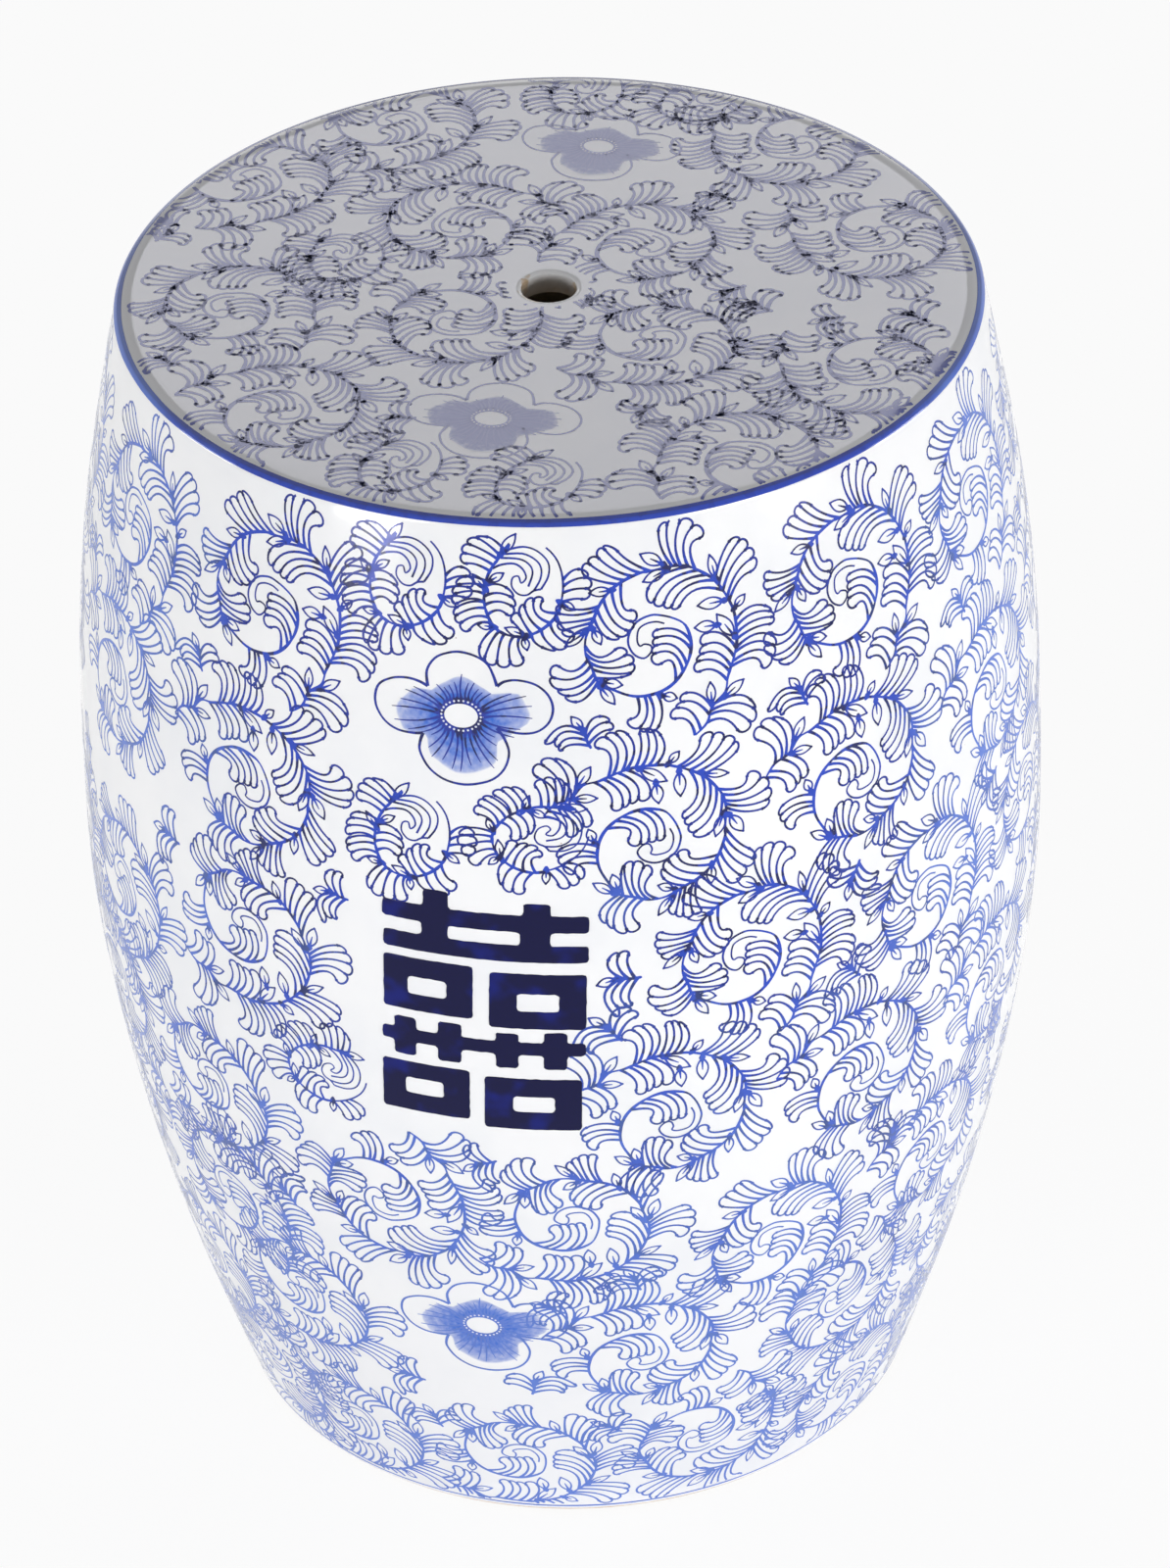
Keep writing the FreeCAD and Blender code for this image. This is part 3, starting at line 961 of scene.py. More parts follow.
@dataclass(frozen=True)
class Flower:
    """Four-petalled flower: outlined petals, a cobalt wash with radial lines, and a beaded eye."""

    outline: tuple[tuple[Point, ...], ...] = (
        ((-11.7, 9.1), (-12.0, 15.0), (-9.0, 20.0), (-4.3, 22.4), (0.0, 23.0), (5.1, 21.8), (9.0, 19.2),
         (11.0, 15.4), (12.4, 11.1)),
        ((12.4, 11.1), (15.0, 13.0), (19.6, 13.6), (25.6, 12.0), (29.9, 8.1), (31.6, 3.0), (30.3, -2.1),
         (26.5, -5.5), (21.3, -6.4), (15.8, -5.5), (12.4, -4.6)),
        ((12.4, -4.6), (15.0, -8.5), (16.6, -14.0), (15.0, -20.0), (11.0, -24.3), (5.0, -26.5),
         (-0.4, -27.0), (-6.4, -25.6), (-11.5, -21.8), (-14.5, -16.2), (-14.5, -12.4), (-13.4, -8.9)),
        ((-13.4, -8.9), (-17.0, -9.4), (-22.6, -9.0), (-27.3, -6.4), (-30.3, -1.7), (-30.7, 3.0),
         (-29.0, 7.3), (-24.3, 10.2), (-19.2, 11.1), (-15.0, 10.5), (-11.7, 9.1)),
    )
    eye: Point = (0.0, -0.8)
    eye_size: Point = (5.9, 4.7)
    ring_size: Point = (7.9, 6.6)
    reaches: tuple[tuple[float, float], ...] = (
        (0.0, 24.5), (22.0, 23.0), (42.0, 14.0), (60.0, 13.6), (90.0, 15.0), (118.0, 13.6),
        (138.0, 13.5), (158.0, 20.0), (180.0, 23.6), (200.0, 22.4), (216.0, 15.5), (240.0, 20.0),
        (270.0, 22.6), (300.0, 21.8), (325.0, 16.0), (342.0, 19.0), (360.0, 24.5),
    )
    sides: int = 72
    rays: int = 36
    beads: int = 26

    def _oval(self, size: Point, angle: float) -> Point:
        """Point of an oval round the eye."""
        spot = on_circle(1.0, angle)
        return self.eye[0] + size[0] * spot[0], self.eye[1] + size[1] * spot[1]

    def _reach(self, angle: float) -> float:
        """How far the wash reaches from the eye at an angle."""
        turn = math.degrees(angle) % 360
        for (before, near), (after, far) in zip(self.reaches, self.reaches[1:]):
            if before <= turn <= after:
                share = (turn - before) / (after - before)
                return near + (far - near) * (3 - 2 * share) * share ** 2
        return self.reaches[-1][1]

    def wash(self) -> Sketch:
        """Draw the washed petals and the pale beads."""
        sketch = Sketch()
        turns = [math.tau * side / self.sides for side in range(self.sides)]
        rings = [[self._oval(self.ring_size, turn) for turn in turns]]
        tones = [1.0]
        for share, tone in ((0.3, 0.85), (0.6, 0.72), (0.86, 0.62), (0.94, 0.5), (1.0, 0.0)):
            ring = []
            for near, turn in zip(rings[0], turns):
                far = toward(self.eye, turn, self._reach(turn))
                ring.append(tuple(a + (b - a) * share for a, b in zip(near, far)))
            rings.append(ring)
            tones.append(tone)
        sketch.patch(rings, tones)
        middle = tuple((a + b) / 2 for a, b in zip(self.eye_size, self.ring_size))
        for bead in range(self.beads):
            spot = self._oval(middle, math.tau * bead / self.beads)
            dots = [[toward(spot, math.tau * side / 8, size) for side in range(8)] for size in (0.02, 0.42)]
            sketch.patch(dots, (0.18, 0.4), 0.03)
        return sketch

    def lines(self, seed: int = 5) -> Sketch:
        """Draw the petals' outline, the radial lines and the dark ring round the eye."""
        sketch, chance = Sketch(), random.Random(seed)
        for petal in self.outline:
            sketch.stroke(through(petal, 5), (1.2, 0.85, 0.8, 0.95, 0.8, 0.9, 1.2), (0.05,), 0.015)
        for ray in range(self.rays):
            turn = math.tau * (ray + chance.uniform(-0.18, 0.18)) / self.rays
            reach = self._reach(turn) * chance.uniform(0.84, 1.06)
            near, far = self._oval(self.ring_size, turn), toward(self.eye, turn, reach)
            side = math.copysign(0.06, math.sin(2 * turn))
            middle = toward(toward(self.eye, turn, 0.6 * reach), turn + math.pi / 2, side * reach)
            sketch.stroke(bend(near, middle, far, 8), (1.3, 0.75, 0.62, 0.6, 0.3), (0.1, 0.05), 0.015)
        middle = tuple((a + b) / 2 for a, b in zip(self.eye_size, self.ring_size))
        ring = [self._oval(middle, math.tau * side / 60) for side in range(61)]
        sketch.stroke(ring, (2.1, 2.3, 2.0, 2.3, 2.1), (0.0, 0.15, 0.0), 0.015)
        return sketch


@dataclass(frozen=True)
class Enamel:
    """Thick dark enamel, a little bluer where it is thin."""

    thick: tuple[float, float, float] = (0.003, 0.0035, 0.045)
    thin: tuple[float, float, float] = (0.004, 0.009, 0.15)
    gloss: float = 0.12
    shine: float = 0.2
    drift_size: float = 14.0 * MM

    def paint(self, tree: NodeWriter) -> dict[str, Any]:
        """Write the enamel's nodes and return the shader's sockets."""
        place = tree.node("ShaderNodeTexCoord", output="Object")
        drift = tree.node("ShaderNodeTexNoise", None, place, None, 1 / self.drift_size, 2.0)
        return {"Base_Color": tree.colours(drift.ramp(0.5, 0.72), self.thick, self.thin),
                "Roughness": self.gloss, "Specular_IOR_Level": self.shine}


def boxed(left: float, low: float, right: float, high: float) -> tuple[Point, ...]:
    """Corners of an upright rectangle."""
    return (left, low), (right, low), (right, high), (left, high)


@dataclass(frozen=True)
class DoubleHappiness:
    """The traditional double happiness sign in relief, as outlines of its strokes."""

    outlines: tuple[tuple[Point, ...], ...] = (
        ((-36.0, 23.0), (37.0, 23.0), (37.0, 30.0), (23.5, 30.0), (23.5, 35.5), (37.0, 35.5),
         (37.0, 42.5), (23.5, 42.5), (23.5, 47.5), (14.0, 47.5), (14.0, 42.5), (-12.5, 42.5),
         (-12.5, 49.5), (-21.5, 49.5), (-21.5, 42.5), (-36.5, 42.5), (-36.5, 35.5), (-22.0, 35.5),
         (-22.0, 30.0), (-36.0, 30.0)),
        boxed(-12.5, 30.0, 13.0, 35.5),
        boxed(-36.0, -3.0, -3.5, 19.5),
        boxed(-27.0, 4.0, -13.0, 11.5),
        boxed(2.3, -5.5, 36.5, 18.0),
        boxed(12.0, 2.0, 27.0, 9.5),
        ((-36.5, -17.0), (-32.0, -17.0), (-32.0, -23.0), (-24.0, -23.0), (-24.0, -17.0), (-16.0, -17.0),
         (-16.0, -23.0), (-7.5, -23.0), (-7.5, -17.0), (4.8, -17.0), (4.8, -23.0), (12.8, -23.0),
         (12.8, -17.0), (21.8, -17.0), (21.8, -23.0), (30.0, -23.0), (30.0, -17.0), (36.5, -17.0),
         (36.5, -11.5), (30.0, -11.5), (30.0, -7.0), (21.8, -7.0), (21.8, -11.5), (12.8, -11.5),
         (12.8, -8.0), (4.8, -8.0), (4.8, -11.5), (-7.5, -11.5), (-7.5, -6.0), (-16.0, -6.0),
         (-16.0, -11.5), (-24.0, -11.5), (-24.0, -6.5), (-32.0, -6.5), (-32.0, -11.5), (-36.5, -11.5)),
        boxed(-36.5, -48.0, -4.5, -26.0),
        boxed(-28.0, -40.0, -14.0, -33.0),
        boxed(0.8, -50.5, 35.3, -27.5),
        boxed(11.0, -42.5, 25.8, -35.5),
    )
    corner: float = 1.7
    relief: float = 0.22
    cell: float = 3.0
    wander: float = 0.16
    seed: int = 11

    def stamp(self, name: str) -> bpy.types.Object:
        """Object of the sign, in metres, cut into cells small enough to bend round the pot."""
        chance = random.Random(self.seed)
        shape = bpy.data.curves.new(name, "CURVE")
        shape.dimensions, shape.fill_mode = "2D", "BOTH"
        shape.bevel_depth, shape.bevel_resolution = self.relief * MM, 2
        shape.offset = -self.relief * MM
        for outline in self.outlines:
            line = list(outline)
            for index in range(len(outline) - 1, -1, -1):
                turned = line[index + 1:] + line[:index + 1]
                near = min(math.dist(turned[-1], turned[0]), math.dist(turned[-1], turned[-2]))
                size = min(self.corner, 0.4 * near)
                soft = rounded([turned[-2], turned[-1], turned[0]], 1, size, 4)[1:-1]
                line = line[:index] + soft + line[index + 1:]
            line = self._by_hand(line, chance)
            spline = shape.splines.new("POLY")
            spline.points.add(len(line) - 1)
            spline.use_cyclic_u = True
            for point, (x, y) in zip(spline.points, line):
                point.co = (MM * x, MM * y, 0.0, 1.0)
        solid = bpy.data.objects.new(name, shape)
        bpy.context.scene.collection.objects.link(solid)
        graph = bpy.context.evaluated_depsgraph_get()
        mesh = bpy.data.meshes.new_from_object(solid.evaluated_get(graph), depsgraph=graph)
        bpy.data.objects.remove(solid)
        work = bmesh.new()
        work.from_mesh(mesh)
        bmesh.ops.remove_doubles(work, verts=work.verts, dist=1e-6)
        for axis in (0, 1):
            for place in range(-18, 19):
                spot, side = [0.0, 0.0, 0.0], [0.0, 0.0, 0.0]
                spot[axis], side[axis] = place * self.cell * MM, 1.0
                parts = [*work.verts, *work.edges, *work.faces]
                bmesh.ops.bisect_plane(work, geom=parts, plane_co=spot, plane_no=side, dist=1e-7)
        low = [face for face in work.faces if face.calc_center_median().z < -0.05 * self.relief * MM]
        bmesh.ops.delete(work, geom=low, context="FACES")
        work.to_mesh(mesh)
        work.free()
        return bpy.data.objects.new(name, mesh)

    def _by_hand(self, line: Sequence[Point], chance: random.Random) -> list[Point]:
        """Closed outline with its straight sides a little unsteady."""
        drawn = []
        for start, end in zip(line, [*line[1:], line[0]]):
            for spot in run_between(start, end, 2.2)[:-1]:
                drawn.append(toward(spot, chance.uniform(0.0, math.tau), chance.uniform(0.0, self.wander)))
        return drawn


class Region(Enum):
    """Part of the glaze that is painted, each with its own way to place a drawing."""

    WALL = 0
    SEAT = 1


@dataclass(frozen=True)
class Spot:
    """One place of a drawing: its kind, its place on the wall or seat, its turn and its size.

    On the wall the place is an angle in degrees and a level in millimetres, and on the seat it is
    X and Y in millimetres.
    """

    kind: int
    place: Point
    turn: float = 0.0
    size: float = 1.0


class Wrapping:
    """Geometry Nodes that stamp flat drawings all over the curved glaze."""

    def __init__(self, name: str, line: bpy.types.Object, region: Region, ink: bpy.types.Material) -> None:
        """Write the tree.

        Args:
            name: Name of the tree.
            line: Curve of the half section, from the seat's middle down to the foot.
            region: Where the drawings go.
            ink: Material of the drawings.
        """
        tree = bpy.data.node_groups.new(name, "GeometryNodeTree")
        face = tree.interface
        face.new_socket("Spots", in_out="INPUT", socket_type="NodeSocketGeometry")
        self.inputs = {
            label: face.new_socket(label, in_out="INPUT", socket_type=kind).identifier
            for label, kind in (("Drawings", "NodeSocketCollection"), ("Line", "NodeSocketObject"),
                                ("Lift", "NodeSocketFloat"), ("First", "NodeSocketFloat"),
                                ("Last", "NodeSocketFloat"))
        }
        face.new_socket("Painting", in_out="OUTPUT", socket_type="NodeSocketGeometry")
        self.tree, self.line = tree, line
        self._write(NodeWriter(tree), region, ink)

    def _write(self, tree: NodeWriter, region: Region, ink: bpy.types.Material) -> None:
        """Add the nodes between the tree's inputs and its output."""
        entry = tree.node("NodeGroupInput", output="Spots")
        value = {label: Term(tree, entry.socket.node.outputs[label]) for label in self.inputs}
        stamps = tree.node("GeometryNodeCollectionInfo", None, value["Drawings"], True)
        turn = tree.node("ShaderNodeCombineXYZ", None, 0.0, 0.0, self._read(tree, "turn"))
        size = self._read(tree, "size")
        placed = tree.node("GeometryNodeInstanceOnPoints", None, entry, None, stamps, True,
                           self._read(tree, "kind"), turn, size)
        real = tree.node("GeometryNodeRealizeInstances", None, placed)
        spot = tree.node("GeometryNodeInputPosition")
        x = tree.node("ShaderNodeSeparateXYZ", None, spot, output="X")
        y, z = (Term(tree, x.socket.node.outputs[axis]) for axis in "YZ")
        shape = tree.node("GeometryNodeObjectInfo", None, value["Line"], output="Geometry")
        if region is Region.SEAT:
            along = tree.node("ShaderNodeMath", {"operation": "SQRT"}, x * x + y * y)
        else:
            along = self._read(tree, "along") - y
        sampled = tree.node("GeometryNodeSampleCurve", {"mode": "LENGTH"}, shape, None, None, along,
                            output="Position")
        radius = tree.node("ShaderNodeSeparateXYZ", None, sampled, output="X")
        level = Term(tree, radius.socket.node.outputs["Z"])
        heading = Term(tree, sampled.socket.node.outputs["Tangent"])
        out = tree.node("ShaderNodeSeparateXYZ", None, heading, output="X")
        down = Term(tree, out.socket.node.outputs["Z"])
        if region is Region.SEAT:
            angle = tree.node("ShaderNodeMath", {"operation": "ARCTAN2"}, x, 0.0 - y)
        else:
            angle = self._read(tree, "angle") + x / radius
        proud = z + value["Lift"]
        reach = radius - down * proud
        place = tree.node("ShaderNodeCombineXYZ", None,
                          reach * tree.node("ShaderNodeMath", {"operation": "SINE"}, angle),
                          0.0 - reach * tree.node("ShaderNodeMath", {"operation": "COSINE"}, angle),
                          level + out * proud)
        inside = tree.node("ShaderNodeMath", {"operation": "MINIMUM"},
                           along - value["First"], value["Last"] - along)
        outside = tree.node("ShaderNodeMath", {"operation": "LESS_THAN"}, inside, 0.0)
        kept = tree.node("GeometryNodeDeleteGeometry", None, real, outside)
        wrapped = tree.node("GeometryNodeSetPosition", None, kept, None, place)
        smooth = tree.node("GeometryNodeSetShadeSmooth", None, wrapped)
        inked = tree.node("GeometryNodeSetMaterial", None, smooth, None, ink)
        tree.node("NodeGroupOutput", None, inked)

    @staticmethod
    def _read(tree: NodeWriter, name: str) -> Term:
        """Named number that each spot carries."""
        return tree.node("GeometryNodeInputNamedAttribute", {"data_type": "FLOAT"}, name)

    def paint(self, name: str, spots: Sequence[dict[str, float]], drawings: Sequence[bpy.types.Object],
              lift: float, ends: Point) -> bpy.types.Object:
        """Stamp the drawings on the glaze and make the result a plain mesh.

        Args:
            name: Name of the piece.
            spots: Numbers of each spot by name, with x and y for its place before wrapping.
            drawings: Flat drawings, in the order of their kinds.
            lift: Height of the drawings over the line.
            ends: Lengths along the line between which painting is kept.

        Returns:
            The painted piece.
        """
        holder = bpy.data.collections.new(f"{name}_drawings")
        for index, drawing in enumerate(drawings):
            drawing.name = f"{name}_{index:02d}"
            holder.objects.link(drawing)
        carrier = add_piece(name, [(spot["x"], spot["y"], 0.0) for spot in spots], [])
        for key in ("kind", "angle", "along", "turn", "size"):
            mark(carrier, key, [spot[key] for spot in spots])
        wrap = carrier.modifiers.new("wrapping", "NODES")
        wrap.node_group = self.tree
        settings = {"Drawings": holder, "Line": self.line, "Lift": lift, "First": ends[0], "Last": ends[1]}
        for label, value in settings.items():
            wrap[self.inputs[label]] = value
        graph = bpy.context.evaluated_depsgraph_get()
        mesh = bpy.data.meshes.new_from_object(carrier.evaluated_get(graph), depsgraph=graph)
        carrier.modifiers.remove(wrap)
        carrier.data = mesh
        mesh.name = name
        for drawing in drawings:
            bpy.data.objects.remove(drawing)
        bpy.data.collections.remove(holder)
        return carrier


@dataclass
class Painting:
    """All the painting on the pot, stamped over the glaze and clear of its edges."""

    barrel: Barrel
    cobalt: Finish
    wash: Finish
    seat_wash: Finish
    enamel: Finish
    lift: float = 0.04 * MM
    step: float = 2.0 * MM
    rim_line: float = 3.3 * MM
    foot_line: float = 0.8 * MM
    rim_drop: float = -3.1 * MM
    foot_gap: float = 1.2 * MM
    sides: int = 360

    def __post_init__(self) -> None:
        """Make the half section that the drawings are wrapped on."""
        top = self.barrel.height - self.barrel.corner_drop
        seat = self.barrel.seat_line(self.step)
        wall = self.barrel.wall_line(top, 0.0, self.step)
        self.section = rounded(seat + wall, len(seat), 1.1 * MM)
        self.lengths = [0.0]
        for before, after in zip(self.section, self.section[1:]):
            self.lengths.append(self.lengths[-1] + math.dist(before, after))
        self.corner = self.length_at(top)
        curve = bpy.data.curves.new("half_section", "CURVE")
        curve.dimensions = "3D"
        spline = curve.splines.new("POLY")
        spline.points.add(len(self.section) - 1)
        for point, (radius, level) in zip(spline.points, self.section):
            point.co = (radius, 0.0, level, 1.0)
        self.line = bpy.data.objects.new("half_section", curve)

    def length_at(self, level: float) -> float:
        """Length along the half section where the wall passes a level."""
        for (before, after), length in zip(zip(self.section, self.section[1:]), self.lengths):
            if before[0] > 0.1 and before[1] >= level >= after[1]:
                share = (before[1] - level) / max(before[1] - after[1], 1e-9)
                return length + share * math.dist(before, after)
        return self.lengths[-1]

    def wall_spots(self, spots: Iterable[Spot]) -> list[dict[str, float]]:
        """Numbers of spots on the wall, repeated on the back of the stool."""
        found = []
        for spot in spots:
            for half in (0.0, math.pi):
                found.append({"kind": spot.kind, "x": 0.0, "y": 0.0, "turn": math.radians(spot.turn),
                              "size": spot.size, "angle": math.radians(spot.place[0]) + half,
                              "along": self.length_at(spot.place[1] * MM)})
        return found

    @staticmethod
    def seat_spots(spots: Iterable[Spot]) -> list[dict[str, float]]:
        """Numbers of spots on the seat."""
        return [{"kind": spot.kind, "x": spot.place[0] * MM, "y": spot.place[1] * MM,
                 "turn": math.radians(spot.turn), "size": spot.size, "angle": 0.0, "along": 0.0}
                for spot in spots]

    def hoop(self, name: str, lengths: Sequence[float], finish: Finish, wave: float) -> bpy.types.Object:
        """Painted line round the pot, with slightly uneven edges.

        Args:
            name: Name of the piece.
            lengths: Places of the line's rows, as lengths along the half section.
            finish: Finish of the line.
            wave: How far its edges wander.

        Returns:
            The piece.
        """
        chance = random.Random(len(name))
        waves = [(chance.randint(2, 40), chance.uniform(0, math.tau), chance.uniform(0.3, 1.0))
                 for _ in range(12)]
        points, tones = [], []
        for row, length in enumerate(lengths):
            edge = row in (0, len(lengths) - 1)
            for side in range(self.sides):
                turn = math.tau * side / self.sides
                drift = sum(size * math.sin(turn * count + phase + row) for count, phase, size in waves)
                place = length + (drift / 3.5 * wave if edge else 0.0)
                radius, level = self._spot(place)
                points.append((radius * math.sin(turn), -radius * math.cos(turn), level))
                tones.append(0.55 + 0.45 * row / (len(lengths) - 1) + 0.06 * drift)
        faces = []
        for row in range(len(lengths) - 1):
            for side in range(self.sides):
                after = (side + 1) % self.sides
                top, low = row * self.sides, (row + 1) * self.sides
                faces.append((top + side, low + side, low + after, top + after))
        piece = add_piece(name, points, faces)
        mark(piece, "tone", tones)
        piece.data.shade_smooth()
        finish.dress(piece)
        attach(piece, "root")
        return piece

    def _spot(self, length: float) -> Point:
        """Point a little proud of the half section, at a length along it."""
        for index, (near, far) in enumerate(zip(self.lengths, self.lengths[1:])):
            if near <= length <= far:
                break
        before, after = self.section[index], self.section[index + 1]
        share, size = (length - near) / (far - near), far - near
        outward = (-(after[1] - before[1]) / size, (after[0] - before[0]) / size)
        return tuple(a + (b - a) * share + side * self.lift for a, b, side in zip(before, after, outward))

    def build(self) -> list[bpy.types.Object]:
        """Paint the pot.

        Returns:
            The painted pieces.
        """
        on_wall = Wrapping("wrap_on_wall", self.line, Region.WALL, self.cobalt.material)
        on_seat = Wrapping("wrap_on_seat", self.line, Region.SEAT, self.cobalt.material)
        wall_ends = (self.corner + 1.2 * MM, self.lengths[-1] - 4.5 * MM)
        seat_ends = (14.0 * MM, self.corner - 3.4 * MM)
        upper = [spot for spot in FOLIAGE if spot.place[1] > 255]
        lower = [spot for spot in FOLIAGE if spot.place[1] <= 255]
        jobs = (
            ("upper_foliage", on_wall, self.wall_spots(upper), self._foliage(), self.cobalt, wall_ends),
            ("lower_foliage", on_wall, self.wall_spots(lower), self._foliage(), self.cobalt, wall_ends),
            ("seat_foliage", on_seat, self.seat_spots(SEAT_FOLIAGE), self._foliage(1.4),
             self.cobalt, seat_ends),
            ("wall_flower_wash", on_wall, self.wall_spots(FLOWERS), self._washes(), self.wash, wall_ends),
            ("wall_flower_lines", on_wall, self.wall_spots(FLOWERS), self._petals(), self.cobalt, wall_ends),
            ("seat_flower_wash", on_seat, self.seat_spots(SEAT_FLOWERS), self._washes(),
             self.seat_wash, seat_ends),
            ("seat_flower_lines", on_seat, self.seat_spots(SEAT_FLOWERS), self._petals(),
             self.cobalt, seat_ends),
            ("double_happiness", on_wall, self.wall_spots(SIGNS), [DoubleHappiness().stamp("sign")],
             self.enamel, wall_ends),
        )
        pieces = []
        for name, wrapping, spots, drawings, finish, ends in jobs:
            piece = wrapping.paint(name, spots, drawings, self.lift, ends)
            finish.dress(piece)
            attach(piece, "root")
            pieces.append(piece)
        rim = self.corner + self.rim_drop
        foot = self.lengths[-1] - 2.5 * MM - self.foot_gap
        rows = [rim + self.rim_line * row / 15 for row in range(16)]
        pieces.append(self.hoop("rim_line", rows, self.cobalt, 0.12 * MM))
        pieces.append(self.hoop("foot_line", [foot - self.foot_line, foot - 0.4 * self.foot_line, foot],
                                self.cobalt, 0.1 * MM))
        return pieces

    @staticmethod
    def _foliage(weight: float = 1.0) -> list[bpy.types.Object]:
        """Flat drawings of the foliage, each with its mirror image after it."""
        stamps = []
        for scroll in (LARGE_SCROLL, SMALL_SCROLL, SPRIG):
            for mirrored in (False, True):
                stamps.append(scroll.draw(mirrored, weight).stamp("foliage"))
        return stamps

    @staticmethod
    def _washes() -> list[bpy.types.Object]:
        """Flat drawing of the flower's wash."""
        return [Flower().wash().stamp("wash")]

    @staticmethod
    def _petals() -> list[bpy.types.Object]:
        """Flat drawing of the flower's lines."""
        return [Flower().lines().stamp("petals")]


class Drawing(IntEnum):
    """The foliage drawings, by their place in the collection that is stamped on the pot."""

    LARGE = 0
    LARGE_MIRRORED = 1
    SMALL = 2
    SMALL_MIRRORED = 3
    TWIG = 4
    TWIG_MIRRORED = 5


LARGE, LARGE_MIRRORED, SMALL, SMALL_MIRRORED, TWIG, TWIG_MIRRORED = Drawing
FOLIAGE = (
    *(Spot(LARGE, (angle, 417.0)) for angle in (-64.6, -37.8, 11.2, 37.5, 63.1, 89.2)),
    Spot(SMALL, (-19.5, 432.9)), Spot(SMALL, (-5.0, 432.7)),
    *(Spot(TWIG, (angle, 381.0)) for angle in (-46.6, 4.0, 30.8, 58.0, 80.0, 105.0)),
    *(Spot(LARGE_MIRRORED, (angle, level), -90.0) for angle, level in (
        (-64.6, 344.0), (-38.2, 341.0), (11.2, 338.0), (37.5, 341.0), (63.9, 336.0), (89.5, 341.0))),
    Spot(SMALL, (-18.5, 337.5), -4.0), Spot(SMALL, (-3.8, 343.0), -62.0, 0.96),
    Spot(LARGE, (-64.6, 263.0), -40.0), Spot(LARGE, (-39.0, 281.0), -73.0),
    Spot(LARGE, (20.5, 288.0)), Spot(LARGE, (46.5, 281.0)), Spot(LARGE, (71.0, 283.0)),
    Spot(LARGE, (94.0, 262.0), -40.0),
    *(Spot(TWIG, place, turn, 1.15) for place, turn in (
        ((6.9, 287.0), 70.0), ((6.0, 262.0), 20.0), ((34.1, 306.0), 130.0), ((-52.0, 305.0), 60.0),
        ((60.0, 306.0), 100.0), ((84.0, 308.0), 30.0), ((103.0, 300.0), 80.0))),
    Spot(TWIG, (-26.6, 312.0), 60.0), Spot(TWIG, (35.8, 263.0), 20.0),
    Spot(LARGE, (-47.6, 200.0), -73.0), Spot(SMALL, (-30.5, 230.0), -62.0, 0.92),
    *(Spot(LARGE_MIRRORED, place, -90.0) for place in (
        (12.9, 218.0), (37.5, 213.0), (63.0, 209.0), (87.5, 214.0), (110.0, 204.0))),
    Spot(LARGE_MIRRORED, (-23.5, 170.0), 181.0), Spot(LARGE, (0.6, 172.0), -78.0),
    Spot(LARGE, (25.0, 148.0)), Spot(LARGE_MIRRORED, (52.6, 148.0), -90.0),
    Spot(LARGE, (78.6, 146.0), -30.0), Spot(LARGE_MIRRORED, (104.0, 142.0), -90.0),
    Spot(LARGE, (130.0, 146.0), 10.0),
    *(Spot(TWIG_MIRRORED, place, turn, 1.15) for place, turn in (
        ((-39.0, 155.0), 60.0), ((41.0, 172.0), 10.0), ((66.0, 176.0), 120.0), ((92.0, 172.0), 40.0),
        ((117.0, 168.0), 90.0), ((-63.0, 158.0), 20.0))),
    Spot(TWIG, (-10.6, 204.0), 90.0), Spot(TWIG, (8.6, 138.0)), Spot(TWIG, (-2.2, 128.0), 40.0),
    Spot(LARGE, (-38.5, 108.0), -73.0), Spot(LARGE_MIRRORED, (9.6, 96.0), -90.0),
    Spot(LARGE_MIRRORED, (37.6, 92.0), 181.0), Spot(LARGE, (65.0, 88.0), -40.0),
    Spot(LARGE_MIRRORED, (92.0, 86.0), -90.0), Spot(LARGE, (118.0, 88.0), -70.0),
    Spot(TWIG, (-23.4, 80.0), 60.0, 1.1), Spot(TWIG_MIRRORED, (-8.0, 80.0), 10.0, 1.1),
    *(Spot(kind, (angle, 36.0), turn) for kind, angle, turn in (
        (LARGE, -36.0, -73.0), (LARGE, -8.4, -73.0), (LARGE_MIRRORED, 18.0, 181.0),
        (LARGE, 45.0, 0.0), (LARGE_MIRRORED, 72.0, -90.0), (LARGE, 98.0, -70.0),
        (LARGE_MIRRORED, 124.0, 181.0))),
    Spot(TWIG, (-20.3, 52.0)), Spot(TWIG, (5.6, 56.0), 30.0), Spot(TWIG, (31.0, 52.0)),
    Spot(TWIG_MIRRORED, (58.0, 54.0)), Spot(TWIG, (85.0, 52.0)), Spot(TWIG_MIRRORED, (111.0, 54.0)),
)
FLOWERS = (Spot(0, (-11.8, 389.0)), Spot(0, (-12.7, 115.0)))
SIGNS = (Spot(0, (-10.0, 268.9), -1.8),)
SEAT_FLOWERS = (Spot(0, (-21.0, -87.0), -16.0, 0.98), Spot(0, (20.0, 99.5), -17.0, 0.95))
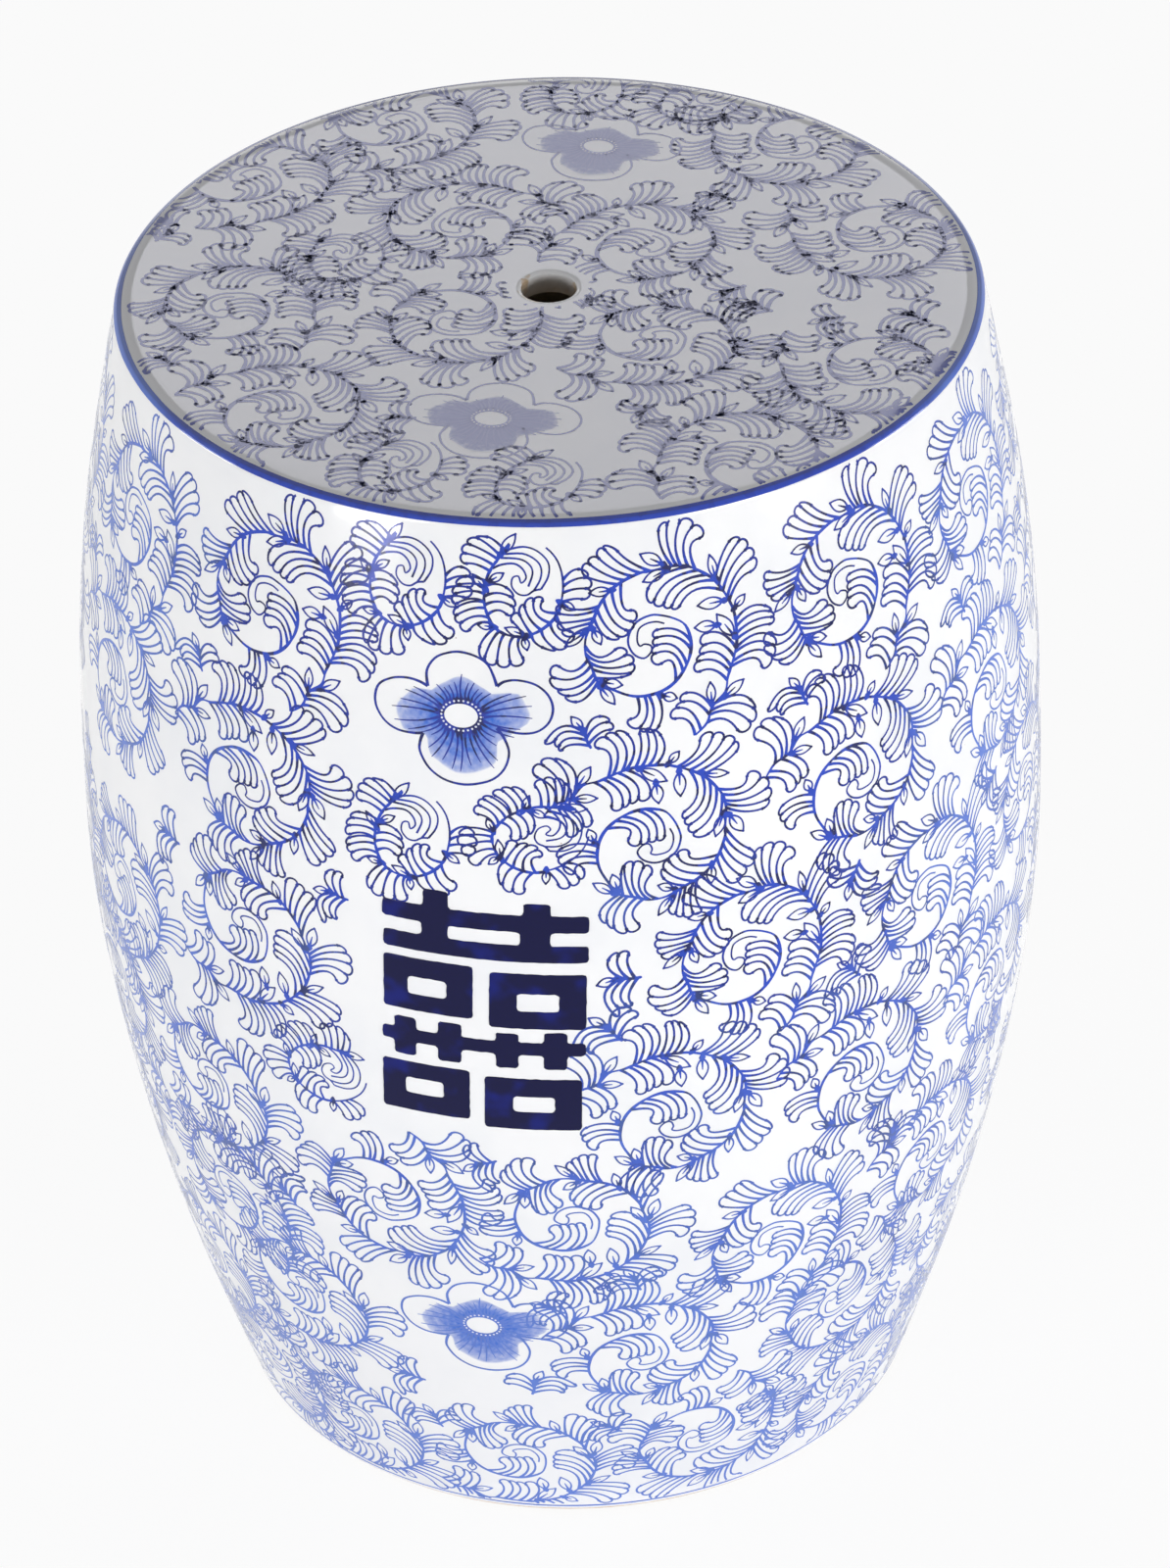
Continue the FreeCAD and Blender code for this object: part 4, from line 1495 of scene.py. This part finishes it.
SEAT_FOLIAGE = (
    *(Spot(LARGE, place, turn) for place, turn in (
        ((-52.0, 123.0), -48.0), ((-105.0, 85.0), -48.0), ((-35.0, 45.0), 80.0),
        ((-115.0, -5.0), 20.0), ((41.0, -38.0), -83.0), ((113.0, -66.0), -153.0),
        ((121.0, 25.0), -150.0), ((93.0, 92.0), -165.0))),
    *(Spot(LARGE_MIRRORED, place, turn) for place, turn in (
        ((-35.0, -25.0), 157.0), ((38.0, 28.0), -58.0), ((69.0, -115.0), -33.0),
        ((-90.0, -79.0), -90.0))),
    *(Spot(SMALL, place, turn) for place, turn in (
        ((-55.0, -118.0), -10.0), ((-8.0, -131.0), -20.0), ((-74.0, 22.0), 10.0),
        ((14.0, 138.0), 0.0), ((56.0, 130.0), -40.0))),
    *(Spot(TWIG, place, turn, 1.2) for place, turn in (
        ((64.0, -2.0), 100.0), ((78.0, -16.0), 30.0), ((133.0, -26.0), 30.0))),
    *(Spot(TWIG, place, turn) for place, turn in (
        ((-131.0, -42.0), 20.0), ((-50.0, -82.0), 60.0), ((16.0, -14.0), -40.0),
        ((-133.0, 55.0), 30.0), ((-136.0, 40.0), -60.0), ((66.0, 62.0), 40.0),
        ((30.0, -82.0), 120.0), ((100.0, -24.0), 80.0), ((140.0, -60.0), 10.0))),
)


@dataclass(frozen=True)
class Lamp:
    """One soft box: where it hangs, how large it is and how bright."""

    name: str
    place: tuple[float, float, float]
    width: float
    tall: float
    power: float
    tint: tuple[float, float, float] = (1.0, 1.0, 1.0)

    def hang(self, target: Vector) -> None:
        """Add the lamp to the scene, aimed at a target."""
        light = bpy.data.lights.new(self.name, "AREA")
        light.shape, light.size, light.size_y = "RECTANGLE", self.width, self.tall
        light.energy, light.color = self.power, self.tint
        lamp = bpy.data.objects.new(self.name, light)
        aim = (target - Vector(self.place)).to_track_quat("-Z", "Y").to_matrix().to_4x4()
        lamp.matrix_world = Matrix.Translation(self.place) @ aim
        bpy.context.scene.collection.objects.link(lamp)


@dataclass
class Studio:
    """Camera, soft boxes, white backdrop and pale floor."""

    spot: tuple[float, float, float] = (0.0, -2.155304, 1.743603)
    pitch: float = -0.607889
    yaw: float = -0.00370978
    roll: float = -0.0273418
    lens: float = 161.83
    aim: tuple[float, float, float] = (0.0, 0.0, 0.24)
    fill: float = 0.06
    floor_size: float = 8.0
    lamps: tuple[Lamp, ...] = (
        Lamp("soft_box_left", (-1.9, -2.2, 0.62), 1.1, 0.9, 35.0),
        Lamp("soft_box_right", (1.9, -2.2, 0.62), 1.1, 0.9, 42.0),
        Lamp("side_box_left", (-2.4, 0.1, 0.8), 0.8, 0.8, 12.0),
        Lamp("side_box_right", (2.4, 0.1, 0.8), 0.8, 0.8, 17.0),
        Lamp("low_box_left", (-0.919, -0.954, 0.232), 0.36, 0.035, 1.6),
        Lamp("low_box_right", (1.109, -0.709, 0.232), 0.36, 0.035, 1.6),
        Lamp("low_box_back", (0.0, 2.6, 0.95), 2.0, 0.5, 4.0),
        Lamp("high_box_back", (0.0, 2.4, 2.3), 1.25, 1.25, 12.0, (0.92, 0.92, 1.0)),
    )

    def camera(self) -> None:
        """Set up the camera at the photograph's viewing angle."""
        lens = bpy.data.cameras.new("camera")
        lens.lens, lens.sensor_width, lens.sensor_fit = self.lens, 36.0, "AUTO"
        lens.clip_start, lens.clip_end = 0.05, 40.0
        camera = bpy.data.objects.new("camera", lens)
        turn = Matrix.Rotation(self.yaw, 4, "Z") @ Matrix.Rotation(math.pi / 2 + self.pitch, 4, "X")
        camera.matrix_world = Matrix.Translation(self.spot) @ turn @ Matrix.Rotation(self.roll, 4, "Z")
        bpy.context.scene.collection.objects.link(camera)
        bpy.context.scene.camera = camera

    @staticmethod
    def _seen(tree: NodeWriter) -> Term:
        """1 for rays of the camera, of gloss and of glass, which see a white background."""
        path = tree.node("ShaderNodeLightPath", output="Is Camera Ray")
        outputs = path.socket.node.outputs
        path = path.most(Term(tree, outputs["Is Glossy Ray"]))
        return path.most(Term(tree, outputs["Is Transmission Ray"]))

    def world(self) -> None:
        """White backdrop that gives only a soft fill light."""
        world = bpy.data.worlds.new("backdrop")
        world.use_nodes = True
        bpy.context.scene.world = world
        tree = NodeWriter(world.node_tree)
        strength = self._seen(tree) * (1.0 - self.fill) + self.fill
        sky = tree.node("ShaderNodeBackground", None, (1.0, 1.0, 1.0, 1.0), strength)
        tree.node("ShaderNodeOutputWorld", None, sky)

    def floor(self) -> None:
        """Pale floor that takes the stool's soft shadow."""
        half = self.floor_size / 2
        corners = [(-half, -half, 0.0), (half, -half, 0.0), (half, half, 0.0), (-half, half, 0.0)]
        floor = add_piece("floor", corners, [(0, 1, 2, 3)])
        material = bpy.data.materials.new("pale_floor")
        material.use_nodes = True
        tree = NodeWriter(material.node_tree)
        matt = tree.node("ShaderNodeBsdfDiffuse", None, (0.86, 0.86, 0.86, 1.0))
        glow = tree.node("ShaderNodeEmission", None, (1.0, 1.0, 1.0, 1.0), 1.0)
        mixed = tree.node("ShaderNodeMixShader", None, self._seen(tree) * 0.93, matt, glow)
        tree.node("ShaderNodeOutputMaterial", None, mixed)
        floor.data.materials.append(material)

    def build(self) -> None:
        """Set up the camera, the lights and the floor."""
        self.camera()
        self.world()
        self.floor()
        for lamp in self.lamps:
            lamp.hang(Vector(self.aim))
        bpy.context.scene.view_settings.view_transform = "Standard"


def main() -> None:
    """Build the stool and its studio."""
    logging.basicConfig(level=logging.INFO, format="%(name)s: %(message)s")
    low, high = Vector(CAD_BOX[0]), Vector(CAD_BOX[1])
    settle = 0.3 * MM
    barrel = Barrel(height=high.z - settle, belly_radius=high.x - settle)
    glaze = Finish("porcelain_glaze", "white_glaze", Glaze().paint)
    clay = Finish("bare_clay", "biscuit", Clay().paint)
    cobalt = Finish("cobalt_painting", "cobalt", Cobalt().paint)
    wash = Finish("cobalt_wash", "cobalt", Wash().paint)
    Studio().build()
    pieces = [Pot(barrel, glaze).build(), Foot(barrel, clay).build()]
    seat_wash = Finish("seat_wash", "cobalt", Wash(deep=(0.03, 0.06, 0.38), body=1.35).paint)
    enamel = Finish("dark_enamel", "cobalt", Enamel().paint)
    pieces += Painting(barrel, cobalt, wash, seat_wash, enamel).build()
    for node in ("belly_band", "seat_coil"):
        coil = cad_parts[node]
        coil.data.materials.clear()
        coil.data.materials.append(clay.material)
    for piece in pieces:
        log.info("%s: %d faces", piece.name, len(piece.data.polygons))


if __name__ == "__main__":
    main()
